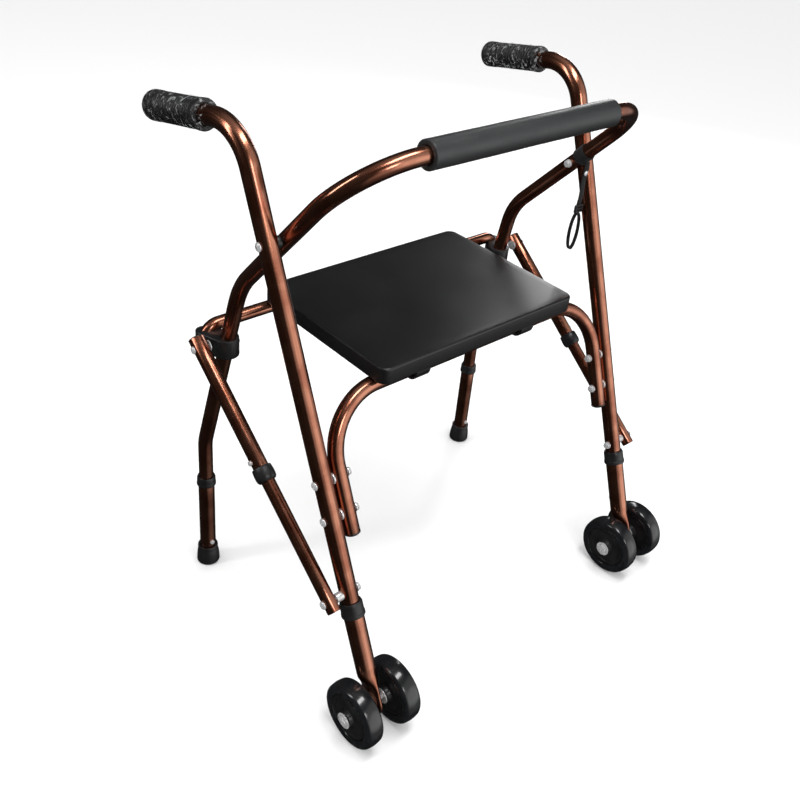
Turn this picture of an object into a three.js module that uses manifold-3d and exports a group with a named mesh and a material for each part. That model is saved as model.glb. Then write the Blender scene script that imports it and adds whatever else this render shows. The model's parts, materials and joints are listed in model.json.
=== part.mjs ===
// Folding walker with a seat, four front wheels and two rubber-footed rear legs.
// Millimetres, +Z up, -Y to the front (wheels and padded bar), +X to the user's left.
// The walker stands on z = 0, with the origin under the middle of its bounding box.
import * as THREE from "three";
import { mergeVertices } from "three/addons/utils/BufferGeometryUtils.js";
import Module from "manifold-3d";

const wasm = await Module();
wasm.setup();

// ---------------------------------------------------------------- driving dimensions

const rad = THREE.MathUtils.degToRad;

// Tubes: outside diameters and the one wall that they share.
const tubeWall = 1.2;
const slipGap = 0.35; // radial gap between a tube and the one that slides in it
const legTube = 25.4; // wheel legs
const bowTube = 22.2; // rear bow: back bar, arms and rear legs in one tube
const supportTube = 22.2; // inverted U under the front of the seat
const railTube = 19; // rail under the back of the seat
const braceTube = 22.2; // upper half of a side brace
const tubeSides = 16; // tubes that slide in each other
const plainSides = 12; // the other tubes
const holeSides = 8;

// Stance and the main pivot, where a wheel leg crosses the rear bow.
const pivotHeight = 649;
const legLean = rad(22.6); // wheel leg from the vertical, seen from the side
const legSplay = rad(1.05); // wheel leg from the vertical, seen from the front
const axleTrack = 283.5; // centre plane to a wheel leg, at the axle
const pivotSpacer = 3.5; // washer between wheel leg and bow
const pivotWasher = 16; // its diameter
const foldAngle = rad(29); // from open to folded, at the main pivot

// Wheels, in pairs on each leg.
const wheelDiameter = 100;
const tyreWidth = 28;
const wheelOffset = 34; // wheel centre from the leg's axis
const hubLength = 37;
const hubDiameter = 70;
const hubBoss = 26;
const wheelSides = 20;
const axleDiameter = 8;

// Handles.
const handleHeight = 780; // corner where the leg's axis meets the grip's axis
const handleBend = 65;
const handleDrop = rad(10.4); // grip runs down towards the back
const handleToe = rad(2.3); // and slightly outwards
const handleReach = 189; // corner to the end of the grip
const gripLength = 121;
const gripDiameter = 39;
const gripCapThickness = 6;

// Rear bow, measured back and up or down from the main pivot.
const barAhead = 118;
const barRise = 126;
const barBend = 95;
const elbowBehind = 104;
const elbowDrop = 111;
const elbowBend = 110;
const kneeBehind = 168;
const kneeDrop = 401;
const kneeBend = 100;
const kneeSpread = 25; // rear leg outboard of the arm, at the knee
const footSpread = 28; // rear leg outboard of the arm, at the floor
const padLength = 330;
const padDiameter = 36;

// Seat.
const seatWidth = 378;
const seatDepth = 272;
const seatTop = 491;
const seatThickness = 25;
const seatCorner = 14;
const seatEdge = 4; // round of its upper edge
const seatFrontOverhang = 27; // seat edge ahead of the front cross tube
const basePanel = 3; // panel let into the seat's underside
const baseInset = 14;
const clipSpacing = 210;
const clipWidth = 26;
const clipWall = 4.5;
const clipPlay = 0.4;
const clipRib = 30;

// Front seat support.
const supportSpacer = 3;
const supportEnd = 285; // height of its open ends
const supportBend = 85;
const supportBoltHeights = [362, 314];

// Rear rail and the moulded blocks that hold it to the rear legs.
const railBehind = 158; // behind the main pivot
const railOffset = 1; // its turned-down ends, outboard of the knee
const railBend = 24;
const railTail = 30; // how far its ends turn down
const blockHeight = 27;
const blockTop = 450;
const blockLegRim = 6.4;
const blockRailRim = 2.2;
const blockGap = 2.4; // from its planed side to the brace
const bossRadius = 11;
const bossDrop = 7; // boss below the brace's upper pin

// Side braces, outboard of both legs.
const braceOffset = 15.2; // brace axis outboard of the rear leg's outer face
const braceTopBehind = 124; // upper pin, behind the main pivot
const braceTopHeight = 448;
const braceFootHeight = 213; // lower bolt, on the wheel leg
const braceTopRun = 198; // upper pin to the mouth of the upper tube
const braceInsertion = 46; // how deep the lower tube sits in the upper one
const bracePinOverrun = 15; // tube past its pins
const braceCatch = 24; // catch above the mouth of the upper tube

// Height adjustment: lower legs slide over the upper ones.
const frontMouth = 196; // height of the front lower leg's mouth
const frontInnerEnd = 100; // height where the wheel leg ends inside it
const flatTop = 96; // height where the front lower leg starts to flatten
const flatBottom = 72;
const flatThickness = 13;
const flatWidth = 37;
const flatTail = 17; // flattened end past the axle
const rearMouth = 176;
const rearInnerEnd = 30;
const rearTubeEnd = 8;
const footDiameter = 37;
const footNeck = 31;
const footHeight = 34;
const footSole = 7;
const catchDiameter = 7;
const catchProud = 2.6;
const rearCatchHeight = 46;
const frontCatchHeight = 116;
const holeGap = 0.3; // radial clearance of every bolt and catch hole

// Bolts.
const boltDiameter = 6;
const headDiameter = 12;
const headHeight = 3.4;
const nutDiameter = 11;
const nutHeight = 6;
const washerDiameter = 16;
const standoffDiameter = 13;
const axleHead = 14;
const axleWasher = 24;
const seatGap = 0.3; // left between pieces that touch

// Strap that ties the folded walker, on the left arm.
const strapWidth = 20; // band round the arm
const strapThickness = 2;
const strapAhead = 24; // band ahead of the main pivot, along the arm
const tailWidth = 12;
const tailDrop = 82; // band to the top of the hanging loop
const loopWidth = 22;
const loopDrop = 62;
const buckleDrop = 74;
const buckleHeight = 12;
const buckleRim = 3.5; // buckle past the tail on each side

// ---------------------------------------------------------------- worked-out sizes

const legR = legTube / 2;
const bowR = bowTube / 2;
const supportR = supportTube / 2;
const railR = railTube / 2;
const braceR = braceTube / 2;
const braceInnerR = braceR - tubeWall - slipGap;
const frontLowerR = legR + slipGap + tubeWall;
const rearLowerR = bowR + slipGap + tubeWall;
const axleHeight = wheelDiameter / 2;
const boltR = boltDiameter / 2;

const leanSlope = Math.tan(legLean);
const splaySlope = Math.tan(legSplay);
// Main pivot is at y = 0 while the parts are laid out.
const legPoint = (side, z) =>
  new THREE.Vector3(
    side * (axleTrack + (z - axleHeight) * splaySlope),
    (z - pivotHeight) * leanSlope,
    z,
  );
const legUp = (side) => new THREE.Vector3(side * splaySlope, leanSlope, 1).normalize();
const bowTrack = axleTrack + (pivotHeight - axleHeight) * splaySlope - legR - pivotSpacer - bowR;
const kneeHeight = pivotHeight - kneeDrop;
const kneeTrack = bowTrack + kneeSpread;
const footTrack = bowTrack + footSpread;
const railTrack = kneeTrack + railOffset;
const braceTrack = kneeTrack + bowR + braceOffset;
const rearPoint = (side, z) =>
  new THREE.Vector3(
    side * (footTrack + (kneeTrack - footTrack) * (z / kneeHeight)),
    kneeBehind,
    z,
  );
const rearUp = (side) => rearPoint(side, kneeHeight).sub(rearPoint(side, 0)).normalize();
const seatBase = seatTop - seatThickness;
const supportCross = seatBase - supportR - seatGap;
const railHeight = seatBase - railR - seatGap;

// ---------------------------------------------------------------- shape helpers

// A geometry as a manifold solid, and back again.
function solid(geometry) {
  const bare = geometry.index ? geometry.toNonIndexed() : geometry.clone();
  bare.deleteAttribute("normal");
  bare.deleteAttribute("uv");
  const merged = mergeVertices(bare, 1e-4);
  const vertProperties = merged.attributes.position.array;
  const triVerts = new Uint32Array(merged.index.array);
  return new wasm.Manifold(new wasm.Mesh({ numProp: 3, vertProperties, triVerts }));
}

function geometryOf(manifold) {
  const mesh = manifold.getMesh();
  const geometry = new THREE.BufferGeometry();
  geometry.setAttribute("position", new THREE.BufferAttribute(mesh.vertProperties, 3));
  geometry.setIndex(new THREE.BufferAttribute(mesh.triVerts, 1));
  const faceted = geometry.toNonIndexed();
  faceted.computeVertexNormals();
  return faceted;
}

const cut = (body, ...tools) =>
  geometryOf(tools.reduce((left, tool) => left.subtract(solid(tool)), solid(body)));
const join = (...bodies) =>
  geometryOf(bodies.slice(1).reduce((sum, body) => sum.add(solid(body)), solid(bodies[0])));

// Turns a geometry built round +Z so that its axis runs along a direction from a point.
function aim(geometry, from, direction) {
  const turn = new THREE.Quaternion().setFromUnitVectors(
    new THREE.Vector3(0, 0, 1),
    direction.clone().normalize(),
  );
  return geometry.applyMatrix4(
    new THREE.Matrix4().compose(from, turn, new THREE.Vector3(1, 1, 1)),
  );
}

// A turned piece round +Z from [radius, height] pairs, whichever way they are listed.
function turned(profile, sides = 20) {
  const make = (pairs) =>
    new THREE.LatheGeometry(pairs.map(([r, z]) => new THREE.Vector2(r, z)), sides).rotateX(
      Math.PI / 2,
    );
  const first = make(profile);
  return solid(first).volume() > 0 ? first : make([...profile].reverse());
}

// A closed ring section between two radii and two heights, with an optional outer round.
function sleeve(inner, outer, low, high, soften = 0, sides = 20) {
  const profile = [
    [inner, low],
    [outer - soften, low],
    [outer, low + soften],
    [outer, high - soften],
    [outer - soften, high],
    [inner, high],
    [inner, low],
  ];
  const distinct = profile.filter(
    (p, i) => i === 0 || p[0] !== profile[i - 1][0] || p[1] !== profile[i - 1][1],
  );
  return turned(distinct, sides);
}

// A plain round rod from a point along a direction.
function rod(from, direction, radius, length, sides = 16) {
  const bar = new THREE.CylinderGeometry(radius, radius, length, sides)
    .rotateX(Math.PI / 2)
    .translate(0, 0, length / 2);
  return aim(bar, from, direction);
}

// The centre line of a bent tube: straight runs joined by round bends. Its stations lie
// only where the tube changes direction, so that straight runs stay one piece long.
class BentLine extends THREE.Curve {
  constructor(corners, bends, stepAngle = rad(22)) {
    super();
    this.stations = [];
    const add = (point, tangent) => this.stations.push({ point, tangent });
    const last = corners.length - 1;
    add(corners[0], corners[1].clone().sub(corners[0]).normalize());
    for (let i = 1; i < last; i++) {
      const before = corners[i].clone().sub(corners[i - 1]).normalize();
      const after = corners[i + 1].clone().sub(corners[i]).normalize();
      const turn = before.angleTo(after);
      const start = corners[i]
        .clone()
        .addScaledVector(before, -bends[i - 1] * Math.tan(turn / 2));
      const inward = after.clone().addScaledVector(before, -after.dot(before)).normalize();
      const centre = start.clone().addScaledVector(inward, bends[i - 1]);
      const steps = Math.max(2, Math.round(turn / stepAngle));
      for (let k = 0; k <= steps; k++) {
        const angle = (turn * k) / steps;
        const point = centre
          .clone()
          .addScaledVector(inward, -bends[i - 1] * Math.cos(angle))
          .addScaledVector(before, bends[i - 1] * Math.sin(angle));
        const tangent = before
          .clone()
          .multiplyScalar(Math.cos(angle))
          .addScaledVector(inward, Math.sin(angle));
        add(point, tangent);
      }
    }
    add(corners[last], corners[last].clone().sub(corners[last - 1]).normalize());
  }
  get steps() {
    return this.stations.length - 1;
  }
  getUtoTmapping(u) {
    return u;
  }
  getPoint(t) {
    return this.stations[Math.round(t * this.steps)].point.clone();
  }
  getTangent(t) {
    return this.stations[Math.round(t * this.steps)].tangent.clone();
  }
}

// A tube along a centre line, bored through unless its bore is left out.
function tubeAlong(line, radius, bore, sides = tubeSides) {
  const section = new THREE.Shape().absarc(0, 0, radius, 0, 2 * Math.PI);
  if (bore) section.holes.push(new THREE.Path().absarc(0, 0, bore, 0, 2 * Math.PI, true));
  return new THREE.ExtrudeGeometry(section, {
    steps: line.steps,
    extrudePath: line,
    curveSegments: sides / 2,
  });
}

// A round rod with rings at the given levels, each pressed thinner in X and wider in Y.
function pressedRod(levels, radius, pressAt) {
  const rings = levels.length - 1;
  const body = new THREE.CylinderGeometry(radius, radius, rings, tubeSides, rings).rotateX(
    Math.PI / 2,
  );
  const position = body.attributes.position;
  for (let i = 0; i < position.count; i++) {
    const z = levels[Math.round(rings / 2 - position.getZ(i))];
    const { thin, wide } = pressAt(z);
    position.setXYZ(i, position.getX(i) * thin, position.getY(i) * wide, z);
  }
  return body;
}

const across = (side) => new THREE.Vector3(side, 0, 0);
// A hole drilled across the walker, right through whatever lies between two tracks.
const crossHole = (point, radius, reach) =>
  rod(point.clone().setX(point.x - reach), across(1), radius + holeGap, 2 * reach, holeSides);

// A bolt with its acorn nut, round the tubes that it clamps: its head is at `from` and its
// nut `clamped` further along `direction`. A washer may fill a gap between the tubes.
function clampBolt(from, direction, clamped, washer) {
  const head = headDiameter / 2;
  const nut = nutDiameter / 2;
  const spacer = washer
    ? [[boltR, washer.start], [washerDiameter / 2, washer.start],
      [washerDiameter / 2, washer.end], [boltR, washer.end]]
    : [];
  const profile = [
    [0, -headHeight],
    [head * 0.7, -headHeight * 0.75],
    [head, 0],
    [boltR, 0],
    ...spacer,
    [boltR, clamped],
    [nut, clamped],
    [nut, clamped + nutHeight * 0.6],
    [0, clamped + nutHeight],
  ];
  return aim(turned(profile, 10), from, direction);
}

// A sprung catch that fills its hole from the bore to a low dome outside.
function catchPin(from, direction, outerRadius, boreRadius) {
  const r = catchDiameter / 2;
  const profile = [
    [0, boreRadius + 0.1],
    [r, boreRadius + 0.1],
    [r, outerRadius + catchProud * 0.5],
    [0, outerRadius + catchProud],
  ];
  return aim(turned(profile, 10), from, direction);
}
const catchHole = (from, direction, reach) =>
  rod(from, direction, catchDiameter / 2 + holeGap, reach, 10);

// ---------------------------------------------------------------- finishes

const finish = {
  anodised: new THREE.MeshStandardMaterial({ color: 0x5a2416, roughness: 0.22, metalness: 1 }),
  steel: new THREE.MeshStandardMaterial({ color: 0xc9c9cc, roughness: 0.25, metalness: 1 }),
  plastic: new THREE.MeshStandardMaterial({ color: 0x161717, roughness: 0.45 }),
  rubber: new THREE.MeshStandardMaterial({ color: 0x1b1b1b, roughness: 0.75 }),
  tyre: new THREE.MeshStandardMaterial({ color: 0x17181a, roughness: 0.25 }),
  foam: new THREE.MeshStandardMaterial({ color: 0x2b2c2e, roughness: 0.85 }),
  seat: new THREE.MeshStandardMaterial({ color: 0x101112, roughness: 0.4 }),
  webbing: new THREE.MeshStandardMaterial({ color: 0x0d0d0e, roughness: 0.8 }),
};

const walker = new THREE.Group();
const sides = [
  { side: 1, hand: "left" },
  { side: -1, hand: "right" },
];

function place(name, geometry, material, parent = walker) {
  const mesh = new THREE.Mesh(geometry, material.clone());
  mesh.name = name;
  parent.add(mesh);
  return mesh;
}

// A group whose +Z runs along a direction, for pieces turned round a leg or a brace.
function axisGroup(origin, direction) {
  const group = new THREE.Group();
  group.position.copy(origin);
  group.quaternion.setFromUnitVectors(new THREE.Vector3(0, 0, 1), direction);
  walker.add(group);
  return group;
}

// ---------------------------------------------------------------- bolt places

const pivotAt = (side) => legPoint(side, pivotHeight);
const braceFootAt = (side) => legPoint(side, braceFootHeight);
const supportBoltsAt = (side) => supportBoltHeights.map((z) => legPoint(side, z));
const supportTrackAt = (side, z) => legPoint(side, z).x - side * (legR + supportSpacer + supportR);

// ---------------------------------------------------------------- wheel legs and grips

const handleAim = (side) =>
  new THREE.Vector3(side * Math.tan(handleToe), Math.cos(handleDrop), -Math.sin(handleDrop))
    .normalize();

function wheelLeg(side) {
  const corner = legPoint(side, handleHeight);
  const tubeEnd = handleReach - gripCapThickness - seatGap;
  const line = new BentLine(
    [
      legPoint(side, frontInnerEnd),
      corner,
      corner.clone().addScaledVector(handleAim(side), tubeEnd),
    ],
    [handleBend],
  );
  const catchAt = legPoint(side, frontCatchHeight);
  return cut(
    tubeAlong(line, legR, legR - tubeWall),
    crossHole(pivotAt(side), boltR, legTube),
    crossHole(braceFootAt(side), boltR, legTube),
    ...supportBoltsAt(side).map((point) => crossHole(point, boltR, legTube)),
    catchHole(catchAt, new THREE.Vector3(0, 1, -leanSlope), legTube),
  );
}

// A moulded grip with a raised rim at each end, closed at the back.
function grip() {
  const outer = gripDiameter / 2;
  const inner = legR + seatGap;
  return turned(
    [
      [inner, 0],
      [outer - 2, 0],
      [outer, 3],
      [outer, 9],
      [outer - 1.2, 12],
      [outer - 1.2, gripLength - 16],
      [outer, gripLength - 12],
      [outer, gripLength - 5],
      [outer - 4, gripLength],
      [0, gripLength],
      [0, gripLength - gripCapThickness],
      [inner, gripLength - gripCapThickness],
      [inner, 0],
    ],
    16,
  );
}

for (const { side, hand } of sides) {
  place(`wheel_leg_${hand}`, wheelLeg(side), finish.anodised);
  const start = legPoint(side, handleHeight).addScaledVector(
    handleAim(side),
    handleReach - gripLength,
  );
  const gripGroup = axisGroup(start, handleAim(side));
  place(`grip_${hand}`, grip(), finish.rubber, gripGroup);
}

// ---------------------------------------------------------------- front seat support

function seatSupport() {
  const end = (side) =>
    legPoint(side, supportEnd).setX(supportTrackAt(side, supportEnd));
  const corner = (side) =>
    legPoint(side, supportCross).setX(supportTrackAt(side, supportCross));
  const line = new BentLine(
    [end(1), corner(1), corner(-1), end(-1)],
    [supportBend, supportBend],
  );
  const holes = sides.flatMap(({ side }) =>
    supportBoltsAt(side).map((point) =>
      crossHole(point.clone().setX(supportTrackAt(side, point.z)), boltR, supportTube),
    ),
  );
  return cut(tubeAlong(line, supportR, supportR - tubeWall, plainSides), ...holes);
}
place("seat_support", seatSupport(), finish.anodised);

// ---------------------------------------------------------------- fasteners of the front frame

// A round piece across the gap between a plane inboard and the wheel leg, whose end is
// saddled to the leg's round and which is bored for its bolt.
function legSpacer(side, point, fromTrack, diameter, boltBore) {
  const body = rod(
    point.clone().setX(side * fromTrack),
    across(side * Math.sign(Math.abs(point.x) - fromTrack)),
    diameter / 2,
    Math.abs(Math.abs(point.x) - fromTrack),
    12,
  );
  const leg = rod(
    point.clone().addScaledVector(legUp(side), -legTube),
    legUp(side),
    legR + seatGap,
    2 * legTube,
    tubeSides,
  );
  return cut(body, leg, crossHole(point, boltBore, 2 * legTube));
}

for (const { side, hand } of sides) {
  const washer = legSpacer(side, pivotAt(side), bowTrack + bowR + seatGap, pivotWasher, boltR);
  place(`pivot_spacer_${hand}`, washer, finish.plastic);
}

// A bolt across one side of the frame, from its head outboard to its nut inboard.
function frameBolt(side, point, headTrack, nutTrack, washer) {
  const from = point.clone().setX(side * (headTrack + seatGap));
  return clampBolt(from, across(-side), headTrack - nutTrack + 2 * seatGap, washer);
}

const outerFace = (point) => Math.abs(point.x) + legR;
for (const { side, hand } of sides) {
  const pivot = pivotAt(side);
  place(
    `pivot_bolt_${hand}`,
    frameBolt(side, pivot, outerFace(pivot), bowTrack - bowR),
    finish.steel,
  );
  supportBoltsAt(side).forEach((point, i) => {
    const nutTrack = Math.abs(supportTrackAt(side, point.z)) - supportR;
    const washer = { start: legTube + 2 * seatGap, end: legTube + supportSpacer };
    place(
      `support_bolt_${["upper", "lower"][i]}_${hand}`,
      frameBolt(side, point, outerFace(point), nutTrack, washer),
      finish.steel,
    );
  });
  const foot = braceFootAt(side);
  place(
    `brace_bolt_${hand}`,
    frameBolt(side, foot, braceTrack + braceInnerR, Math.abs(foot.x) - legR),
    finish.steel,
  );

  // Sleeve that holds the brace's lower end clear of the wheel leg.
  const faceTrack = braceTrack - braceInnerR - seatGap;
  const standoff = legSpacer(side, foot, faceTrack, standoffDiameter, boltR);
  place(`brace_standoff_${hand}`, standoff, finish.steel);
}

// ---------------------------------------------------------------- front lower legs and wheels

// A lower leg that starts round at its mouth and is pressed flat where the axle crosses it.
function frontLowerLeg(side) {
  const along = (height) => (height - axleHeight) / legUp(side).z;
  const mouth = along(frontMouth);
  const roundEnd = along(flatTop);
  const flatEnd = along(flatBottom);
  const levels = [mouth, roundEnd];
  for (let k = 1; k <= 4; k++) levels.push(THREE.MathUtils.lerp(roundEnd, flatEnd, k / 4));
  for (let k = 0; k <= 4; k++) levels.push(-flatTail * Math.sin((k / 4) * (Math.PI / 2)));
  const body = pressedRod(levels, frontLowerR, (z) => {
    const press = THREE.MathUtils.smoothstep(-z, -roundEnd, -flatEnd);
    const tail = THREE.MathUtils.clamp(-z / flatTail, 0, 1);
    return {
      thin: THREE.MathUtils.lerp(1, flatThickness / 2 / frontLowerR, press),
      wide: THREE.MathUtils.lerp(1, flatWidth / 2 / frontLowerR, press) *
        Math.sqrt(1 - 0.72 * tail * tail),
    };
  });
  return { body, mouth, roundEnd };
}

function frontCollar(mouth) {
  const lip = 5;
  const height = 22;
  const grip = frontLowerR + seatGap;
  const slide = legR + slipGap;
  const outer = frontLowerR + 2.6;
  return turned(
    [
      [grip, mouth - height + lip],
      [outer - 0.8, mouth - height + lip],
      [outer, mouth - height + lip + 3],
      [outer, mouth + lip - 3],
      [outer - 1.6, mouth + lip],
      [slide, mouth + lip],
      [slide, mouth + seatGap],
      [grip, mouth + seatGap],
      [grip, mouth - height + lip],
    ],
    16,
  );
}

function tyre() {
  const outer = wheelDiameter / 2;
  const inner = hubDiameter / 2 + seatGap;
  const half = tyreWidth / 2;
  return turned(
    [
      [inner, -half + 2],
      [outer - 12, -half],
      [outer - 4, -half + 2],
      [outer, -half + 8],
      [outer, half - 8],
      [outer - 4, half - 2],
      [outer - 12, half],
      [inner, half - 2],
      [inner, -half + 2],
    ],
    wheelSides,
  ).rotateY(Math.PI / 2);
}

function hub() {
  const rim = hubDiameter / 2;
  const half = hubLength / 2;
  const web = tyreWidth / 2 - 4;
  const bore = axleDiameter / 2 + 0.1;
  return turned(
    [
      [bore, -half],
      [hubBoss / 2, -half],
      [hubBoss / 2 + 2, -web],
      [rim, -web],
      [rim, web],
      [hubBoss / 2 + 2, web],
      [hubBoss / 2, half],
      [bore, half],
      [bore, -half],
    ],
    wheelSides,
  ).rotateY(Math.PI / 2);
}

// The axle: a long bolt with its nut and with a washer on each face of each hub.
function axle(side, at) {
  const pin = axleDiameter / 2;
  const thickness = 1.6;
  const half = [[pin, 0]];
  for (const face of [wheelOffset - hubLength / 2 - seatGap - thickness,
    wheelOffset + hubLength / 2 + seatGap]) {
    half.push([pin, face], [axleWasher / 2, face], [axleWasher / 2, face + thickness]);
    half.push([pin, face + thickness]);
  }
  const end = half.at(-1)[1];
  half.pop();
  half.push([axleHead / 2, end], [axleHead / 2, end + 2], [4, end + 4.4], [0, end + 5]);
  const mirrored = half.slice(1).reverse().map(([r, z]) => [r, -z]);
  return aim(turned([...mirrored, ...half.slice(1)], 12), at, across(side));
}

for (const { side, hand } of sides) {
  const at = legPoint(side, axleHeight);
  const legGroup = axisGroup(at, legUp(side));
  const { body, mouth, roundEnd } = frontLowerLeg(side);
  const bore = rod(
    new THREE.Vector3(0, 0, roundEnd),
    new THREE.Vector3(0, 0, 1),
    legR + slipGap,
    mouth,
    tubeSides,
  );
  const catchRise = (frontCatchHeight - axleHeight) / legUp(side).z;
  const catchAt = new THREE.Vector3(0, 0, catchRise);
  const backward = new THREE.Vector3(0, 1, 0);
  // The axle runs along the world's X, so it is turned into the leg's own frame.
  const axleAim = across(1).applyQuaternion(legGroup.quaternion.clone().invert());
  const axleBore = rod(
    axleAim.clone().multiplyScalar(-legTube),
    axleAim,
    axleDiameter / 2 + holeGap,
    2 * legTube,
    16,
  );
  const leg = cut(body, bore, catchHole(catchAt, backward, legTube), axleBore);
  place(`front_lower_leg_${hand}`, leg, finish.anodised, legGroup);
  place(`front_collar_${hand}`, frontCollar(mouth), finish.plastic, legGroup);
  place(
    `front_catch_${hand}`,
    catchPin(catchAt, backward, frontLowerR, legR + slipGap),
    finish.steel,
    legGroup,
  );
  place(`axle_${hand}`, axle(side, at), finish.steel);
  for (const [where, offset] of [["outer", side], ["inner", -side]]) {
    const wheel = new THREE.Group();
    wheel.position.set(at.x + offset * wheelOffset, at.y, at.z);
    walker.add(wheel);
    place(`tyre_${where}_${hand}`, tyre(), finish.tyre, wheel);
    place(`hub_${where}_${hand}`, hub(), finish.plastic, wheel);
  }
}

// ---------------------------------------------------------------- rear bow

const elbow = (side) =>
  new THREE.Vector3(side * bowTrack, elbowBehind, pivotHeight - elbowDrop);
const knee = (side) => rearPoint(side, kneeHeight);
const barCorner = (side) => new THREE.Vector3(side * bowTrack, -barAhead, pivotHeight + barRise);
const rearCatchAim = new THREE.Vector3(0, -1, 0);

function rearBow() {
  const line = new BentLine(
    [
      rearPoint(1, rearInnerEnd),
      knee(1),
      elbow(1),
      barCorner(1),
      barCorner(-1),
      elbow(-1),
      knee(-1),
      rearPoint(-1, rearInnerEnd),
    ],
    [kneeBend, elbowBend, barBend, barBend, elbowBend, kneeBend],
  );
  const holes = sides.flatMap(({ side }) => [
    crossHole(pivotAt(side).setX(side * bowTrack), boltR, bowTube),
    catchHole(rearPoint(side, rearCatchHeight), rearCatchAim, bowTube),
  ]);
  return cut(tubeAlong(line, bowR, bowR - tubeWall), ...holes);
}
place("rear_bow", rearBow(), finish.anodised);

const pad = sleeve(bowR + seatGap, padDiameter / 2, -padLength / 2, padLength / 2, 1.5, 16);
const padMesh = place("back_pad", pad.rotateY(Math.PI / 2), finish.foam);
padMesh.position.set(0, -barAhead, pivotHeight + barRise);

// ---------------------------------------------------------------- rear lower legs

for (const { side, hand } of sides) {
  const legGroup = axisGroup(rearPoint(side, 0), rearUp(side));
  const bore = bowR + slipGap;
  const tube = sleeve(bore, rearLowerR, rearTubeEnd, rearMouth, 0, tubeSides);
  const catchAt = new THREE.Vector3(0, 0, rearCatchHeight);
  const leg = cut(tube, catchHole(catchAt, rearCatchAim, bowTube));
  place(`rear_lower_leg_${hand}`, leg, finish.anodised, legGroup);
  place(
    `rear_catch_${hand}`,
    catchPin(catchAt, rearCatchAim, rearLowerR, bore),
    finish.steel,
    legGroup,
  );
  const grasp = rearLowerR + seatGap;
  const rim = rearLowerR + 2.4;
  const collar = turned(
    [
      [grasp, rearMouth - 12],
      [rim - 0.6, rearMouth - 12],
      [rim, rearMouth - 9],
      [rim, rearMouth + 1],
      [rim - 1.4, rearMouth + 4],
      [bore, rearMouth + 4],
      [bore, rearMouth + seatGap],
      [grasp, rearMouth + seatGap],
      [grasp, rearMouth - 12],
    ],
    16,
  );
  place(`rear_collar_${hand}`, collar, finish.plastic, legGroup);
  // The foot is turned round a true vertical, so that its sole lies flat on the floor.
  const foot = turned(
    [
      [0, 0],
      [footDiameter / 2 - 2.5, 0],
      [footDiameter / 2, 2.5],
      [footDiameter / 2 - 0.4, footHeight * 0.5],
      [footDiameter / 2 - 2, footHeight * 0.68],
      [footNeck / 2, footHeight * 0.8],
      [footNeck / 2, footHeight - 1],
      [footNeck / 2 - 1, footHeight],
      [0, footHeight],
    ],
    20,
  );
  const socket = rod(new THREE.Vector3(0, 0, footSole), rearUp(side), grasp, footHeight, 20);
  const footMesh = place(`rear_foot_${hand}`, cut(foot, socket), finish.rubber);
  footMesh.position.copy(rearPoint(side, 0));
}

// ---------------------------------------------------------------- rear rail and its blocks

const railEnd = (side) => new THREE.Vector3(side * railTrack, railBehind, railHeight - railTail);
const railCorner = (side) => new THREE.Vector3(side * railTrack, railBehind, railHeight);
const railLine = new BentLine(
  [railEnd(1), railCorner(1), railCorner(-1), railEnd(-1)],
  [railBend, railBend],
  rad(24),
);
place("rear_rail", tubeAlong(railLine, railR, railR - tubeWall, plainSides), finish.anodised);

const rearSlope = (side) => elbow(side).sub(knee(side)).normalize();
const rearLegAt = (side, z) => {
  const up = rearSlope(side);
  return knee(side).addScaledVector(up, (z - kneeHeight) / up.z);
};

// A moulded block seen from above as a link: one round end round the leg, one round the rail.
function railBlock(side) {
  const middle = blockTop - blockHeight / 2;
  const leg = rearLegAt(side, middle);
  const end = railEnd(side);
  const legRim = bowR + blockLegRim;
  const railRim = railR + blockRailRim;
  const direction = Math.atan2(end.y - leg.y, end.x - leg.x);
  const spread = Math.acos((legRim - railRim) / Math.hypot(end.x - leg.x, end.y - leg.y));
  const outline = new THREE.Shape();
  outline.absarc(leg.x, leg.y, legRim, direction + spread, direction - spread + 2 * Math.PI);
  outline.absarc(end.x, end.y, railRim, direction - spread, direction + spread);
  const link = new THREE.ExtrudeGeometry(outline, {
    depth: blockHeight - 3,
    bevelThickness: 1.5,
    bevelSize: 1.5,
    bevelOffset: -1.5,
    bevelSegments: 1,
    curveSegments: 6,
  }).translate(0, 0, blockTop - blockHeight + 1.5);
  const pin = new THREE.Vector3(0, braceTopBehind, braceTopHeight - bossDrop);
  const faceTrack = braceTrack - braceR - blockGap;
  const boss = rod(pin.setX(side * railTrack), across(side), bossRadius, faceTrack - railTrack, 12);
  // Whatever would reach the brace is planed off.
  const planed = new THREE.BoxGeometry(2 * blockHeight, 4 * blockHeight, 4 * blockHeight).translate(
    side * (faceTrack + blockHeight),
    pin.y,
    pin.z,
  );
  const legTool = rod(
    rearLegAt(side, blockTop - 2 * blockHeight),
    rearSlope(side),
    bowR + seatGap,
    3 * blockHeight,
    tubeSides,
  );
  const railTool = tubeAlong(railLine, railR + 2 * seatGap, 0, plainSides);
  return cut(join(link, boss), legTool, railTool, planed);
}
for (const { side, hand } of sides) {
  place(`rail_block_${hand}`, railBlock(side), finish.plastic);
}

// ---------------------------------------------------------------- side braces

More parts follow.
